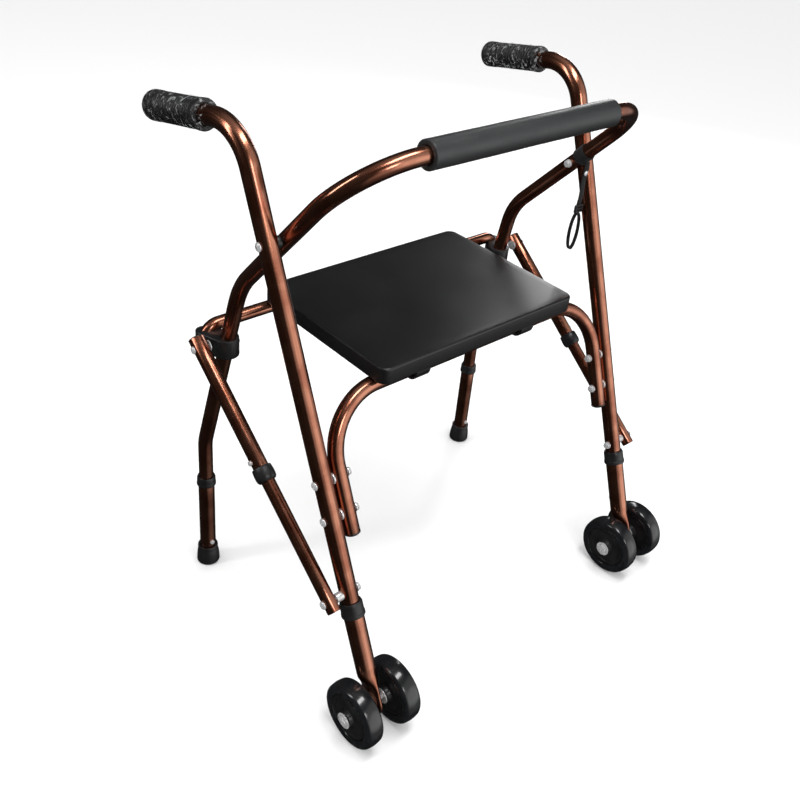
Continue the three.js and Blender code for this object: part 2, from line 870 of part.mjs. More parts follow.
for (const { side, hand } of sides) {
  const foot = braceFootAt(side).setX(side * braceTrack);
  const top = new THREE.Vector3(side * braceTrack, braceTopBehind, braceTopHeight);
  const run = top.clone().sub(foot);
  const length = run.length();
  const pivot = new THREE.Vector3(side * braceTrack, 0, pivotHeight);
  const foldedTop = top.clone().sub(pivot).applyAxisAngle(across(-1), foldAngle).add(pivot);
  const travel = length - foldedTop.distanceTo(foot);
  const braceGroup = axisGroup(foot, run.normalize());
  const inGroup = (vector) =>
    vector.applyQuaternion(braceGroup.quaternion.clone().invert());
  const outward = inGroup(across(side));
  const mouth = length - braceTopRun;
  const innerTop = mouth + braceInsertion;
  const catchRise = mouth + braceCatch;
  const centre = (rise) => new THREE.Vector3(0, 0, rise);
  const holeAcross = (rise, r) =>
    rod(centre(rise).addScaledVector(outward, -braceTube), outward, r + holeGap, 2 * braceTube,
      holeSides);

  const lowerTube = cut(
    sleeve(braceInnerR - tubeWall, braceInnerR, -bracePinOverrun, innerTop, 0, tubeSides),
    holeAcross(0, boltR),
    catchHole(centre(catchRise), outward, braceTube),
    catchHole(centre(catchRise - travel), outward, braceTube),
  );
  place(`brace_lower_${hand}`, lowerTube, finish.anodised, braceGroup);

  const upperEnd = length + bracePinOverrun;
  const upperTube = cut(
    sleeve(braceR - tubeWall, braceR, mouth, upperEnd, 0, tubeSides),
    holeAcross(length, boltR),
    catchHole(centre(catchRise), outward, braceTube),
  );
  place(`brace_upper_${hand}`, upperTube, finish.anodised, braceGroup);
  place(
    `brace_catch_${hand}`,
    catchPin(centre(catchRise), outward, braceR, braceR - tubeWall),
    finish.steel,
    braceGroup,
  );

  const grasp = braceR + seatGap;
  const slide = braceInnerR + slipGap;
  const collar = turned(
    [
      [grasp, mouth + 14],
      [grasp + 2.2, mouth + 13],
      [grasp + 3.2, mouth + 8],
      [grasp + 3.2, mouth],
      [grasp + 2, mouth - 5],
      [slide + 1, mouth - 7],
      [slide, mouth - 7],
      [slide, mouth - seatGap],
      [grasp, mouth - seatGap],
      [grasp, mouth + 14],
    ],
    16,
  );
  place(`brace_collar_${hand}`, collar, finish.plastic, braceGroup);

  // Rivet through the upper end; its inboard collar faces the block across a small gap.
  const rivetR = boltR;
  const rivet = aim(
    turned(
      [
        [0, -3],
        [3.6, -2.6],
        [5.6, -0.8],
        [5.6, 0],
        [rivetR, 0],
        [rivetR, braceTube + 2 * seatGap],
        [8, braceTube + 2 * seatGap],
        [8, braceTube + 1.9],
        [0, braceTube + 1.9],
      ],
      16,
    ),
    centre(length).addScaledVector(outward, braceR + seatGap),
    outward.clone().negate(),
  );
  place(`brace_rivet_${hand}`, rivet, finish.steel, braceGroup);
}

// ---------------------------------------------------------------- seat

function roundedPlate(width, depth, corner, thickness, edge) {
  const x = width / 2 - edge;
  const y = depth / 2 - edge;
  const r = corner - edge;
  const outline = new THREE.Shape();
  outline.absarc(x - r, y - r, r, 0, Math.PI / 2);
  outline.absarc(-x + r, y - r, r, Math.PI / 2, Math.PI);
  outline.absarc(-x + r, -y + r, r, Math.PI, 1.5 * Math.PI);
  outline.absarc(x - r, -y + r, r, 1.5 * Math.PI, 2 * Math.PI);
  return new THREE.ExtrudeGeometry(outline, {
    depth: thickness - 2 * edge,
    bevelThickness: edge,
    bevelSize: edge,
    bevelSegments: 2,
    curveSegments: 3,
  }).translate(0, 0, edge);
}

const crossY = (supportCross - pivotHeight) * leanSlope;
const seatGroup = new THREE.Group();
seatGroup.position.set(0, crossY - seatFrontOverhang + seatDepth / 2, seatBase);
walker.add(seatGroup);

// The cushion, round along its upper edge and recessed underneath for the panel.
function seatPad() {
  const plate = roundedPlate(
    seatWidth,
    seatDepth,
    seatCorner,
    seatThickness + seatEdge,
    seatEdge,
  ).translate(0, 0, -seatEdge);
  const below = new THREE.BoxGeometry(2 * seatWidth, 2 * seatDepth, 2 * seatEdge).translate(
    0,
    0,
    -seatEdge,
  );
  const recess = roundedPlate(
    seatWidth - 2 * (baseInset - seatGap),
    seatDepth - 2 * (baseInset - seatGap),
    seatCorner,
    2 * basePanel,
    0.8,
  ).translate(0, 0, -basePanel);
  return cut(plate, below, recess);
}
place("seat_pad", seatPad(), finish.seat, seatGroup);

// The panel under the seat, with two moulded clips that turn on the front cross tube.
function seatClip() {
  const bore = supportR + clipPlay;
  const outer = bore + clipWall;
  const ring = sleeve(bore, outer, -clipWidth / 2, clipWidth / 2, 0, 16).rotateY(Math.PI / 2);
  const rib = new THREE.BoxGeometry(clipWidth, clipRib, clipWall).translate(
    0,
    clipRib / 2 + bore,
    supportR - clipWall / 2 + seatGap + 0.8,
  );
  return { ring, rib };
}

function seatPanel() {
  const panel = roundedPlate(
    seatWidth - 2 * baseInset,
    seatDepth - 2 * baseInset,
    seatCorner,
    basePanel - seatGap,
    0.8,
  );
  const y = crossY - seatGroup.position.y;
  const z = supportCross - seatBase;
  const pieces = [panel];
  for (const end of [-1, 1]) {
    const { ring, rib } = seatClip();
    pieces.push(ring.translate((end * clipSpacing) / 2, y, z));
    pieces.push(rib.translate((end * clipSpacing) / 2, y, z));
  }
  const tube = rod(
    new THREE.Vector3(-seatWidth / 2, y, z),
    across(1),
    supportR + clipPlay / 2,
    seatWidth,
    24,
  );
  const padSpace = new THREE.BoxGeometry(seatWidth, seatDepth, clipWall * 4).translate(
    0,
    0,
    basePanel - seatGap + clipWall * 2,
  );
  return cut(join(...pieces), tube, padSpace);
}
place("seat_base", seatPanel(), finish.plastic, seatGroup);

// ---------------------------------------------------------------- tie strap on the left arm

const armUp = barCorner(1).sub(elbow(1)).normalize();
const strapCentre = new THREE.Vector3(bowTrack, 0, pivotHeight).addScaledVector(armUp, strapAhead);
const band = aim(
  sleeve(bowR + seatGap, bowR + seatGap + strapThickness, -strapWidth / 2, strapWidth / 2, 0, 20),
  strapCentre,
  armUp,
);
// The tail leaves the band where its underside faces front and down. It ends in a loop no
// further outboard than the tube, so that both clear the wheel leg.
const frontDown = new THREE.Vector3(0, -armUp.z, armUp.y);
const tailTop = strapCentre
  .clone()
  .addScaledVector(frontDown, bowR + seatGap + strapThickness)
  .setX(bowTrack + bowR - loopWidth / 2);
const tail = new THREE.BoxGeometry(tailWidth, 2 * strapThickness, tailDrop).translate(
  tailTop.x,
  tailTop.y,
  tailTop.z - tailDrop / 2,
);
const loopOutline = new THREE.Shape().absellipse(0, 0, loopWidth / 2, loopDrop / 2, 0, 2 * Math.PI);
loopOutline.holes.push(
  new THREE.Path().absellipse(
    0,
    0,
    loopWidth / 2 - strapThickness,
    loopDrop / 2 - strapThickness,
    0,
    2 * Math.PI,
    true,
  ),
);
const loop = new THREE.ExtrudeGeometry(loopOutline, {
  depth: 2 * strapThickness,
  bevelEnabled: false,
  curveSegments: 10,
})
  .rotateX(Math.PI / 2)
  .translate(tailTop.x, tailTop.y - strapThickness, tailTop.z - tailDrop - loopDrop / 2 + 1);
place("strap", join(band, tail, loop), finish.webbing);

const buckle = cut(
  new THREE.BoxGeometry(
    tailWidth + 2 * buckleRim,
    2 * strapThickness + buckleRim,
    buckleHeight,
  ),
  new THREE.BoxGeometry(
    tailWidth + 2 * seatGap,
    2 * (strapThickness + seatGap),
    2 * buckleHeight,
  ),
);
const buckleMesh = place("strap_buckle", buckle, finish.plastic);
buckleMesh.position.set(tailTop.x, tailTop.y, tailTop.z - buckleDrop);

// ---------------------------------------------------------------- origin

// The origin goes under the middle of the bounding box, on the floor.
const extent = new THREE.Box3().setFromObject(walker, true);
walker.position.y = -(extent.min.y + extent.max.y) / 2;

export default walker;
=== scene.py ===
"""Looks of a folding walker with a seat, built round its packed engineering frame.

Metres, +Z up, -Y to the front, +X to the left of a user who stands behind the seat.
"""

import json
from math import cos, pi, radians, sin, sqrt, tan

import bmesh
import bpy
from bpy.props import FloatProperty, FloatVectorProperty, PointerProperty
from mathutils import Matrix, Vector, noise


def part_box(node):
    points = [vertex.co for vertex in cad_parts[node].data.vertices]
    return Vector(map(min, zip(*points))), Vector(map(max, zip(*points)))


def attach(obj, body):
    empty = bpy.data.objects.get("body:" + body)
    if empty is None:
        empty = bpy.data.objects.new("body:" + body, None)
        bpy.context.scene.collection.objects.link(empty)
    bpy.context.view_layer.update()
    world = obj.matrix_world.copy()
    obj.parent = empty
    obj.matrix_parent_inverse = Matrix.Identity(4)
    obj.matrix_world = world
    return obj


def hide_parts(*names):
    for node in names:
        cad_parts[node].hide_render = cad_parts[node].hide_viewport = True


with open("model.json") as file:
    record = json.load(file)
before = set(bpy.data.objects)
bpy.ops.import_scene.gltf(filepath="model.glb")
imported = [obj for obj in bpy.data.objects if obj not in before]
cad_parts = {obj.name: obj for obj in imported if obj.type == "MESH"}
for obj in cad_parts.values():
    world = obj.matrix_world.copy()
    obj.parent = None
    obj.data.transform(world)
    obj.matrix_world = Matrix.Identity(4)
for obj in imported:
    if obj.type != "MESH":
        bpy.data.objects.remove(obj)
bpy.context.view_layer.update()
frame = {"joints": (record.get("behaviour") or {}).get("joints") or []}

bl_info = {
    "name": "Folding walker",
    "version": (1, 0, 0),
    "blender": (4, 5, 0),
    "location": "View3D > Sidebar > Walker",
    "description": "Builds a folding walker with a seat round its engineering frame",
    "category": "Object",
}

JOINTS = {joint["name"]: joint for joint in frame["joints"]}
SIDES = {"left": 1, "right": -1}
PIVOT = Vector(JOINTS["fold"]["pos_m"])
SEAT_HINGE = Vector(JOINTS["seat_flip"]["pos_m"])
ACROSS, BACK, UP = Vector((1, 0, 0)), Vector((0, 1, 0)), Vector((0, 0, 1))
ROUND = 48  # facets round a tube
BEND_STEP = radians(4)
GAP = 0.0003  # left between pieces that fit together
BOLT_SHAFT = 0.003
NUT_REACH = 0.006  # washer, nut and bolt end beyond what a bolt clamps
HEAD_REACH = 0.0034
BUTTON_RADIUS = 0.0035
GRIP_RIM = 0.0195
STRAP_AHEAD = 0.024  # strap's band ahead of the main pivot, along the arm
STRAP_THICK = 0.0016


# ------------------------------------------------------------------ sizes and colours


def size(name, default):
    """A length that a user may change."""
    return FloatProperty(name=name, default=default, unit="LENGTH", precision=4)


def angle(name, degrees):
    """An angle that a user may change."""
    return FloatProperty(name=name, default=radians(degrees), subtype="ANGLE")


def colour(name, default):
    """A linear colour that a user may change."""
    return FloatVectorProperty(name=name, default=default, subtype="COLOR", min=0, max=1)


class WalkerTubes(bpy.types.PropertyGroup):
    """Diameters of the tubes and how one slides in another."""

    leg: size("Wheel legs", 0.0254)
    bow: size("Rear bow", 0.0222)
    support: size("Seat support", 0.0222)
    rail: size("Rail under the seat", 0.019)
    brace: size("Upper half of a brace", 0.0222)
    wall: size("Wall of every tube", 0.0012)
    slip: size("Gap between a tube and the one in it", 0.00035)


class WalkerBends(bpy.types.PropertyGroup):
    """Where the tubes turn and how tightly."""

    handle_height: size("Height where leg and grip axes meet", 0.780)
    handle_bend: size("Bend radius below the grip", 0.065)
    handle_drop: angle("Slope of the grip down to the back", 10.4)
    handle_toe: angle("Outward turn of the grip", 2.3)
    handle_reach: size("Corner to the end of the grip", 0.189)
    bar_ahead: size("Padded bar ahead of the pivot", 0.118)
    bar_rise: size("Padded bar above the pivot", 0.126)
    bar_bend: size("Bend radius of the bar's corners", 0.095)
    elbow_behind: size("Elbow behind the pivot", 0.104)
    elbow_drop: size("Elbow below the pivot", 0.111)
    elbow_bend: size("Bend radius of the elbow", 0.110)
    knee_drop: size("Knee below the pivot", 0.401)
    knee_bend: size("Bend radius of the knee", 0.100)
    support_bend: size("Bend radius of the seat support", 0.085)
    support_end: size("Height of the support's ends", 0.285)
    rail_bend: size("Bend radius of the rail", 0.024)
    rail_tail: size("How far the rail turns down", 0.030)


class WalkerColours(bpy.types.PropertyGroup):
    """Colours of the finishes."""

    bronze: colour("Anodised tube in the light", (0.46, 0.188, 0.112))
    bronze_deep: colour("Anodised tube where it is denser", (0.3, 0.098, 0.052))
    steel: colour("Bolts, nuts and washers", (0.74, 0.74, 0.76))
    plastic: colour("Collars, blocks and hubs", (0.0055, 0.0055, 0.006))
    rubber: colour("Grips and feet", (0.0075, 0.0075, 0.008))
    tyre: colour("Wheel treads", (0.005, 0.0054, 0.0062))
    foam: colour("Sleeve on the bar", (0.02, 0.0215, 0.0225))
    seat: colour("Cover of the seat", (0.0042, 0.0043, 0.0046))
    webbing: colour("Tie strap", (0.006, 0.006, 0.0065))
    floor: colour("Studio floor", (0.93, 0.93, 0.93))


# ------------------------------------------------------------------ places from the frame


def axle_centre(hand):
    """Middle of a leg's axle, between its two wheels."""
    ends = [Vector(JOINTS[f"wheel_spin_{at}_{hand}"]["pos_m"]) for at in ("outer", "inner")]
    return (ends[0] + ends[1]) / 2


def against(joint):
    """Direction opposite to a sliding joint's axis."""
    return -Vector(JOINTS[joint]["axis"]).normalized()


def leg_point(hand, height):
    """Point on a wheel leg's axis at a height."""
    base, up = axle_centre(hand), against(f"front_height_{hand}")
    return base + up * ((height - base.z) / up.z)


def rear_point(hand, height):
    """Point on the axis of a rear leg's lower part at a height."""
    foot, up = middle(f"rear_foot_{hand}"), against(f"rear_height_{hand}")
    return Vector((foot.x, foot.y, 0)) + up * (height / up.z)


def middle(node):
    """Centre of a CAD node's box."""
    low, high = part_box(node)
    return (low + high) / 2


def faces_across(node, side):
    """X of a CAD node's outboard face and of its inboard one."""
    low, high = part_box(node)
    return (high.x, low.x) if side > 0 else (low.x, high.x)


def bow_track():
    """Distance from the middle to the arms of the rear bow."""
    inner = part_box("pivot_spacer_left")[0].x
    return inner - GAP - bpy.context.scene.walker_tubes.bow / 2


def brace_run(hand):
    """Lower pin of a brace and its direction, up to its rivet."""
    return Vector(JOINTS[f"brace_hinge_{hand}"]["pos_m"]), against(f"brace_slide_{hand}")


def bow_corners(hand):
    """Corners of one side of the rear bow: knee, elbow and bar, from the floor up."""
    bends, track = bpy.context.scene.walker_bends, SIDES[hand] * bow_track()
    elbow = PIVOT + Vector((track, bends.elbow_behind, -bends.elbow_drop))
    bar = PIVOT + Vector((track, -bends.bar_ahead, bends.bar_rise))
    return rear_point(hand, PIVOT.z - bends.knee_drop), elbow, bar


def handle_aim(side, bends):
    """Direction of a grip, back and a little down and out."""
    aim = (side * tan(bends.handle_toe), cos(bends.handle_drop), -sin(bends.handle_drop))
    return Vector(aim).normalized()


# ------------------------------------------------------------------ shape tools


def frame_at(point, direction, side=ACROSS):
    """Matrix whose Z runs along a direction and whose X lies as near as it can to a side."""
    z = Vector(direction).normalized()
    if abs(z.dot(side)) > 0.99:
        side = BACK
    x = (side - z * side.dot(z)).normalized()
    matrix = Matrix((x, z.cross(x), z)).transposed().to_4x4()
    matrix.translation = point
    return matrix


def moved(bm, matrix):
    """A mesh carried to its place."""
    bmesh.ops.transform(bm, matrix=matrix, verts=bm.verts)
    return bm


def only(kind, items):
    """The items of one kind, such as vertices."""
    return [item for item in items if isinstance(item, kind)]


def bevel(bm, edges, width, segments):
    """Rounds chosen edges."""
    bmesh.ops.bevel(
        bm, geom=edges, offset=width, offset_type="OFFSET", segments=segments, profile=0.5,
        affect="EDGES", clamp_overlap=True, material=-1,
    )


def sharp_edges(bm, over):
    """Edges between two faces that turn by more than an angle."""
    return [e for e in bm.edges if len(e.link_faces) == 2 and e.calc_face_angle() > over]


def soften(bm, width, segments=3, over=radians(28)):
    """Rounds every edge that is sharper than an angle."""
    edges = sharp_edges(bm, over)
    if edges and width:
        bevel(bm, edges, width, segments)


def close_up(bm):
    """Merges doubles, drops slivers and turns every face outwards."""
    bmesh.ops.remove_doubles(bm, verts=bm.verts, dist=1e-6)
    bmesh.ops.dissolve_degenerate(bm, dist=1e-7, edges=bm.edges)
    bmesh.ops.recalc_face_normals(bm, faces=bm.faces)


def turned(profile, matrix, facets=ROUND, round_edges=0.0, segments=3):
    """A turned solid from (radius, height) pairs. It closes on its axis or on itself."""
    bm = bmesh.new()
    verts = [bm.verts.new((radius, 0, height)) for radius, height in profile]
    edges = [bm.edges.new(pair) for pair in zip(verts, verts[1:])]
    if profile[0][0] > 0:
        edges.append(bm.edges.new((verts[-1], verts[0])))
    bmesh.ops.spin(
        bm, geom=verts + edges, cent=(0, 0, 0), axis=(0, 0, 1), angle=2 * pi, steps=facets,
        use_merge=True,
    )
    close_up(bm)
    soften(bm, round_edges, segments)
    return moved(bm, matrix)


def ring(matrix, inner, outer, low, high, facets, round_edges=0.0, segments=3):
    """A washer or a sleeve between two radii and two heights."""
    profile = [(inner, low), (outer, low), (outer, high), (inner, high)]
    return turned(profile, matrix, facets, round_edges, segments)


def arc(centre, radius, start, end, steps=6):
    """(radius, height) pairs along a round stretch of a profile."""
    turns = [radians(start + (end - start) * k / steps) for k in range(steps + 1)]
    return [(centre[0] + radius * cos(t), centre[1] + radius * sin(t)) for t in turns]


def mirrored(profile):
    """A profile's mirror image below, in reverse order."""
    return [(radius, -height) for radius, height in profile[::-1]]


def block(matrix, x, y, z, round_edges=0.0, segments=3):
    """A box with rounded edges."""
    bm = bmesh.new()
    bmesh.ops.create_cube(bm, size=1, matrix=Matrix.Diagonal((x, y, z, 1)))
    soften(bm, round_edges, segments)
    return moved(bm, matrix)


def hexagon(matrix, width, height, round_edges):
    """A nut, measured across its flats, standing on its matrix."""
    bm, radius = bmesh.new(), width / 2 / cos(pi / 6)
    bmesh.ops.create_cone(
        bm, cap_ends=True, segments=6, radius1=radius, radius2=radius, depth=height,
        matrix=Matrix.Translation((0, 0, height / 2)),
    )
    soften(bm, round_edges, 2)
    return moved(bm, matrix)


def together(*pieces):
    """Several solids in one mesh."""
    whole = bmesh.new()
    for bm in pieces:
        mesh = bpy.data.meshes.new("part")
        bm.to_mesh(mesh)
        bm.free()
        whole.from_mesh(mesh)
        bpy.data.meshes.remove(mesh)
    return whole


class Tube:
    """A round tube grown from one end: runs are extruded and bends are turned.

    Each vertex keeps its place on the unrolled tube, so that drawing marks follow the metal.
    """

    def __init__(self, start, direction, radius):
        self.bm = bmesh.new()
        self.place = self.bm.verts.layers.float_vector.new("tube_place")
        matrix = frame_at(start, direction)
        made = bmesh.ops.create_circle(self.bm, segments=ROUND, radius=radius, matrix=matrix)
        self.ring = made["verts"]
        home = matrix.inverted()
        for vert in self.ring:
            vert[self.place] = (*(home @ vert.co).xy, 0)
        self.bottom = self.rim()

    def rim(self):
        """Edges of the newest ring."""
        ends = set(self.ring)
        edges = {edge for vert in self.ring for edge in vert.link_edges}
        return [edge for edge in edges if all(vert in ends for vert in edge.verts)]

    def grow(self, travel):
        """Adds a ring on top of the newest one and notes how far along it lies."""
        made = bmesh.ops.extrude_edge_only(self.bm, edges=self.rim())["geom"]
        self.ring = only(bmesh.types.BMVert, made)
        for vert in self.ring:
            vert[self.place] = vert[self.place] + Vector((0, 0, travel))

    def run(self, move, parts=1):
        """A straight stretch."""
        for _ in range(parts):
            self.grow(move.length / parts)
            bmesh.ops.translate(self.bm, vec=move / parts, verts=self.ring)

    def bend(self, centre, axis, turn, radius):
        """A round bend about an axis through a centre."""
        steps = max(2, round(turn / BEND_STEP))
        matrix = Matrix.Rotation(turn / steps, 3, axis)
        for _ in range(steps):
            self.grow(radius * turn / steps)
            bmesh.ops.rotate(self.bm, cent=centre, matrix=matrix, verts=self.ring)

    def press(self, matrix, x, y):
        """Squeezes the newest ring in the X and Y of a matrix."""
        bmesh.ops.scale(self.bm, vec=(x, y, 1), space=matrix.inverted(), verts=self.ring)

    def close(self, round_edges=0.0006):
        """Closes both ends and rounds their rims."""
        for edges in (self.bottom, self.rim()):
            bmesh.ops.contextual_create(self.bm, geom=edges)
        bmesh.ops.recalc_face_normals(self.bm, faces=self.bm.faces)
        soften(self.bm, round_edges, 2, radians(50))
        return self.bm


def bent_tube(corners, bends, radius):
    """A tube along corners, each rounded by its bend radius."""
    tube = Tube(corners[0], corners[1] - corners[0], radius)
    at = corners[0]
    for corner, following, bend in zip(corners[1:], corners[2:], bends):
        before = (corner - at).normalized()
        after = (following - corner).normalized()
        turn = before.angle(after)
        start = corner - before * bend * tan(turn / 2)
        tube.run(start - at, 4)
        inward = (after - before * after.dot(before)).normalized()
        tube.bend(start + inward * bend, before.cross(after).normalized(), turn, bend)
        at = corner + after * bend * tan(turn / 2)
    tube.run(corners[-1] - at, 4)
    return tube.close()


def ease(value, low, high):
    """A smooth step from 0 at low to 1 at high."""
    share = min(1.0, max(0.0, (value - low) / (high - low)))
    return share * share * (3 - 2 * share)


def swell(bm, beyond, amount):
    """Moves the points further from the axis than a radius outwards by an amount."""
    for vert in bm.verts:
        around = Vector((vert.co.x, vert.co.y, 0))
        if around.length > beyond:
            vert.co += around.normalized() * amount(vert.co, around.normalized())


def add_piece(name, bm, body, finish, *replaces, sharp=40):
    """Turns a bmesh into a finished piece that rides on a body."""
    mesh = bpy.data.meshes.new(name)
    bm.to_mesh(mesh)
    bm.free()
    for polygon in mesh.polygons:
        polygon.use_smooth = True
    mesh.set_sharp_from_angle(angle=radians(sharp))
    mesh.materials.append(finishes[finish])
    piece = bpy.data.objects.new(name, mesh)
    bpy.context.scene.collection.objects.link(piece)
    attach(piece, body)
    if replaces:
        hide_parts(*replaces)
    return piece


# ------------------------------------------------------------------ shared surface effects


class Nodes:
    """Short ways to add nodes to a tree and to join them."""

    def __init__(self, tree):
        self.tree = tree

    def put(self, socket, value):
        """Joins an output to a socket, or sets a constant on it."""
        if isinstance(value, bpy.types.NodeSocket):
            self.tree.links.new(value, socket)
        else:
            socket.default_value = value

    def add(self, kind, values=(), **settings):
        """A node with its settings, and values put on its input sockets by name."""
        node = self.tree.nodes.new(kind)
        for key, value in settings.items():
            setattr(node, key, value)
        for socket, value in dict(values).items():
            self.put(node.inputs[socket], value)
        return node

    def where(self):
        """Place of a point on the object."""
        return self.add("ShaderNodeTexCoord").outputs["Object"]

    def cloud(self, where, scale, detail, distortion=0.0):
        """Noise between 0 and 1."""
        values = {"Vector": where, "Scale": scale, "Detail": detail, "Distortion": distortion}
        return self.add("ShaderNodeTexNoise", values).outputs["Fac"]

    def wave(self, where, scale, distortion, direction):
        """Ribs across one direction."""
        values = {"Vector": where, "Scale": scale, "Distortion": distortion}
        return self.add("ShaderNodeTexWave", values, bands_direction=direction).outputs["Fac"]

    def math(self, operation, first, second=0.0):
        """A sum, product or the like of two values."""
        return self.add("ShaderNodeMath", {0: first, 1: second}, operation=operation).outputs[0]

    def span(self, value, low, high, to_low=0.0, to_high=1.0):
        """A value carried from one range to another."""
        values = {"Value": value, "From Min": low, "From Max": high}
        values |= {"To Min": to_low, "To Max": to_high}
        node = self.add("ShaderNodeMapRange", values, interpolation_type="SMOOTHSTEP")
        return node.outputs[0]

    def tint(self, mask, first, second):
        """One colour where the mask is 0 and another where it is 1."""
        node = self.add("ShaderNodeMix", {"Factor": mask}, data_type="RGBA")
        for socket, value in ((node.inputs[6], first), (node.inputs[7], second)):
            joined = isinstance(value, bpy.types.NodeSocket)
            self.put(socket, value if joined else (*value, 1))
        return node.outputs[2]


class Effect(Nodes):
    """A node group of numbers in and numbers out, ready for its nodes."""

    def __init__(self, name, inputs, outputs):
        super().__init__(bpy.data.node_groups.new(name, "ShaderNodeTree"))
        face = self.tree.interface
        for label, value in inputs.items():
            socket = face.new_socket(label, in_out="INPUT", socket_type="NodeSocketFloat")
            socket.default_value = value
        for label in outputs:
            face.new_socket(label, in_out="OUTPUT", socket_type="NodeSocketFloat")
        self.given = self.add("NodeGroupInput").outputs


def grain_effect():
    """Fine moulded grain: a mask of broad patches and the height of small bumps."""
    n = Effect("Grain", {"Fine Scale": 1500.0, "Patch Scale": 18.0}, ("Patches", "Height"))
    where = n.where()
    fine = n.cloud(where, n.given["Fine Scale"], 3.0)
    patches = n.span(n.cloud(where, n.given["Patch Scale"], 4.0), 0.35, 0.68)
    n.add("NodeGroupOutput", {"Patches": patches, "Height": fine})
    return n.tree


def streaks_effect():
    """Drawing marks that run along a tube, from each point's place on the tube."""
    inputs = {"Across Scale": 420.0, "Along Share": 0.02}
    n = Effect("Drawing marks", inputs, ("Marks", "Cloud"))
    place = n.add("ShaderNodeAttribute", attribute_name="tube_place").outputs["Vector"]
    parts = n.add("ShaderNodeSeparateXYZ", {"Vector": place}).outputs
    along = n.math("MULTIPLY", parts["Z"], n.given["Along Share"])
    values = {"X": parts["X"], "Y": parts["Y"], "Z": along}
    stretched = n.add("ShaderNodeCombineXYZ", values).outputs[0]
    marks = n.span(n.cloud(stretched, n.given["Across Scale"], 5.0), 0.35, 0.66)
    drift = n.span(n.cloud(place, 28.0, 3.0), 0.4, 0.64)
    n.add("NodeGroupOutput", {"Marks": marks, "Cloud": drift})
    return n.tree


def dust_effect():
    """A little dust that settles on what faces up, in loose flecks."""
    n = Effect("Settled dust", {"Amount": 0.1, "Fleck Scale": 260.0}, ("Mask",))
    normal = n.add("ShaderNodeNewGeometry").outputs["Normal"]
    upward = n.span(n.add("ShaderNodeSeparateXYZ", {"Vector": normal}).outputs["Z"], 0.1, 1.0)
    spots = n.span(n.cloud(n.where(), n.given["Fleck Scale"], 6.0), 0.5, 0.8)
    mask = n.math("MULTIPLY", n.math("MULTIPLY", upward, spots), n.given["Amount"])
    n.add("NodeGroupOutput", {"Mask": mask})
    return n.tree


DUST = (0.42, 0.4, 0.38)
WORN_STEEL = (0.56, 0.56, 0.55)
effects = {}
finishes = {}


class Finish(Nodes):
    """A material with a Principled surface, ready for its nodes."""

    def __init__(self, name, **surface):
        self.material = bpy.data.materials.new(name)
        self.material.use_nodes = True
        super().__init__(self.material.node_tree)
        self.tree.nodes.clear()
        self.surface = self.add("ShaderNodeBsdfPrincipled")
        for socket, value in surface.items():
            self.surface.inputs[socket.replace("_", " ")].default_value = value
        self.add("ShaderNodeOutputMaterial", {"Surface": self.surface.outputs[0]})

    def effect(self, name, **values):
        """One of the shared effects with its own values."""
        node = self.add("ShaderNodeGroup", node_tree=effects[name])
        for socket, value in values.items():
            node.inputs[socket.replace("_", " ")].default_value = value
        return node.outputs

    def feed(self, socket, value):
        """Joins an output to a socket of the surface."""
        self.tree.links.new(value, self.surface.inputs[socket])

    def dusted(self, base, amount, flecks):
        """The base colour under a little dust. Returns the dust's mask."""
        dust = self.effect("dust", Amount=amount, Fleck_Scale=flecks)["Mask"]
        self.feed("Base Color", self.tint(dust, base, DUST))
        return dust

    def bump(self, height, distance, strength=1.0, after=None):
        """Relief in metres from a height."""
        values = {"Height": height, "Distance": distance, "Strength": strength}
        if after:
            values["Normal"] = after
        return self.add("ShaderNodeBump", values).outputs["Normal"]


def shade(rgb, share, more=0.0):
    """A colour made lighter or darker by a share."""
    return [channel * share + more for channel in rgb]


def bronze_finish(colours):
    """Glossy bronze anodising over drawn aluminium tube."""
    f = Finish(
        "bronze_anodised", Metallic=1.0, Coat_Weight=0.6, Coat_Roughness=0.06, Coat_IOR=1.45
    )
    marks = f.effect("streaks", Across_Scale=520.0, Along_Share=0.018)
    drift = f.tint(marks["Cloud"], colours.bronze, colours.bronze_deep)
    lined = f.tint(f.math("MULTIPLY", marks["Marks"], 0.35), drift, colours.bronze_deep)
    dust = f.dusted(lined, 0.1, 420.0)
    rough = f.span(marks["Marks"], 0.0, 1.0, 0.17, 0.26)
    f.feed("Roughness", f.math("ADD", rough, f.math("MULTIPLY", dust, 0.8)))
    f.feed("Normal", f.bump(marks["Marks"], 0.00001, 0.5))
    return f.material


def steel_finish(colours):
    """Bright zinc-plated steel."""
    f = Finish("zinc_steel", Metallic=0.6)
    grain = f.effect("grain", Fine_Scale=2600.0, Patch_Scale=160.0)
    f.feed("Base Color", f.tint(grain["Patches"], colours.steel, WORN_STEEL))
    f.feed("Roughness", f.span(grain["Patches"], 0.0, 1.0, 0.2, 0.36))
    f.feed("Normal", f.bump(grain["Height"], 0.00002, 0.4))
    return f.material


def moulded_finish(name, base, rough, grain_depth, dust_amount, **surface):
    """Moulded plastic or rubber: fine grain, soft patches of gloss and a little dust."""
    f = Finish(name, **surface)
    grain = f.effect("grain", Fine_Scale=2200.0, Patch_Scale=45.0)
    f.dusted(f.tint(grain["Patches"], base, shade(base, 1.5, 0.001)), dust_amount, 520.0)
    f.feed("Roughness", f.span(grain["Patches"], 0.0, 1.0, *rough))
    f.feed("Normal", f.bump(grain["Height"], grain_depth, 0.6))
    return f.material


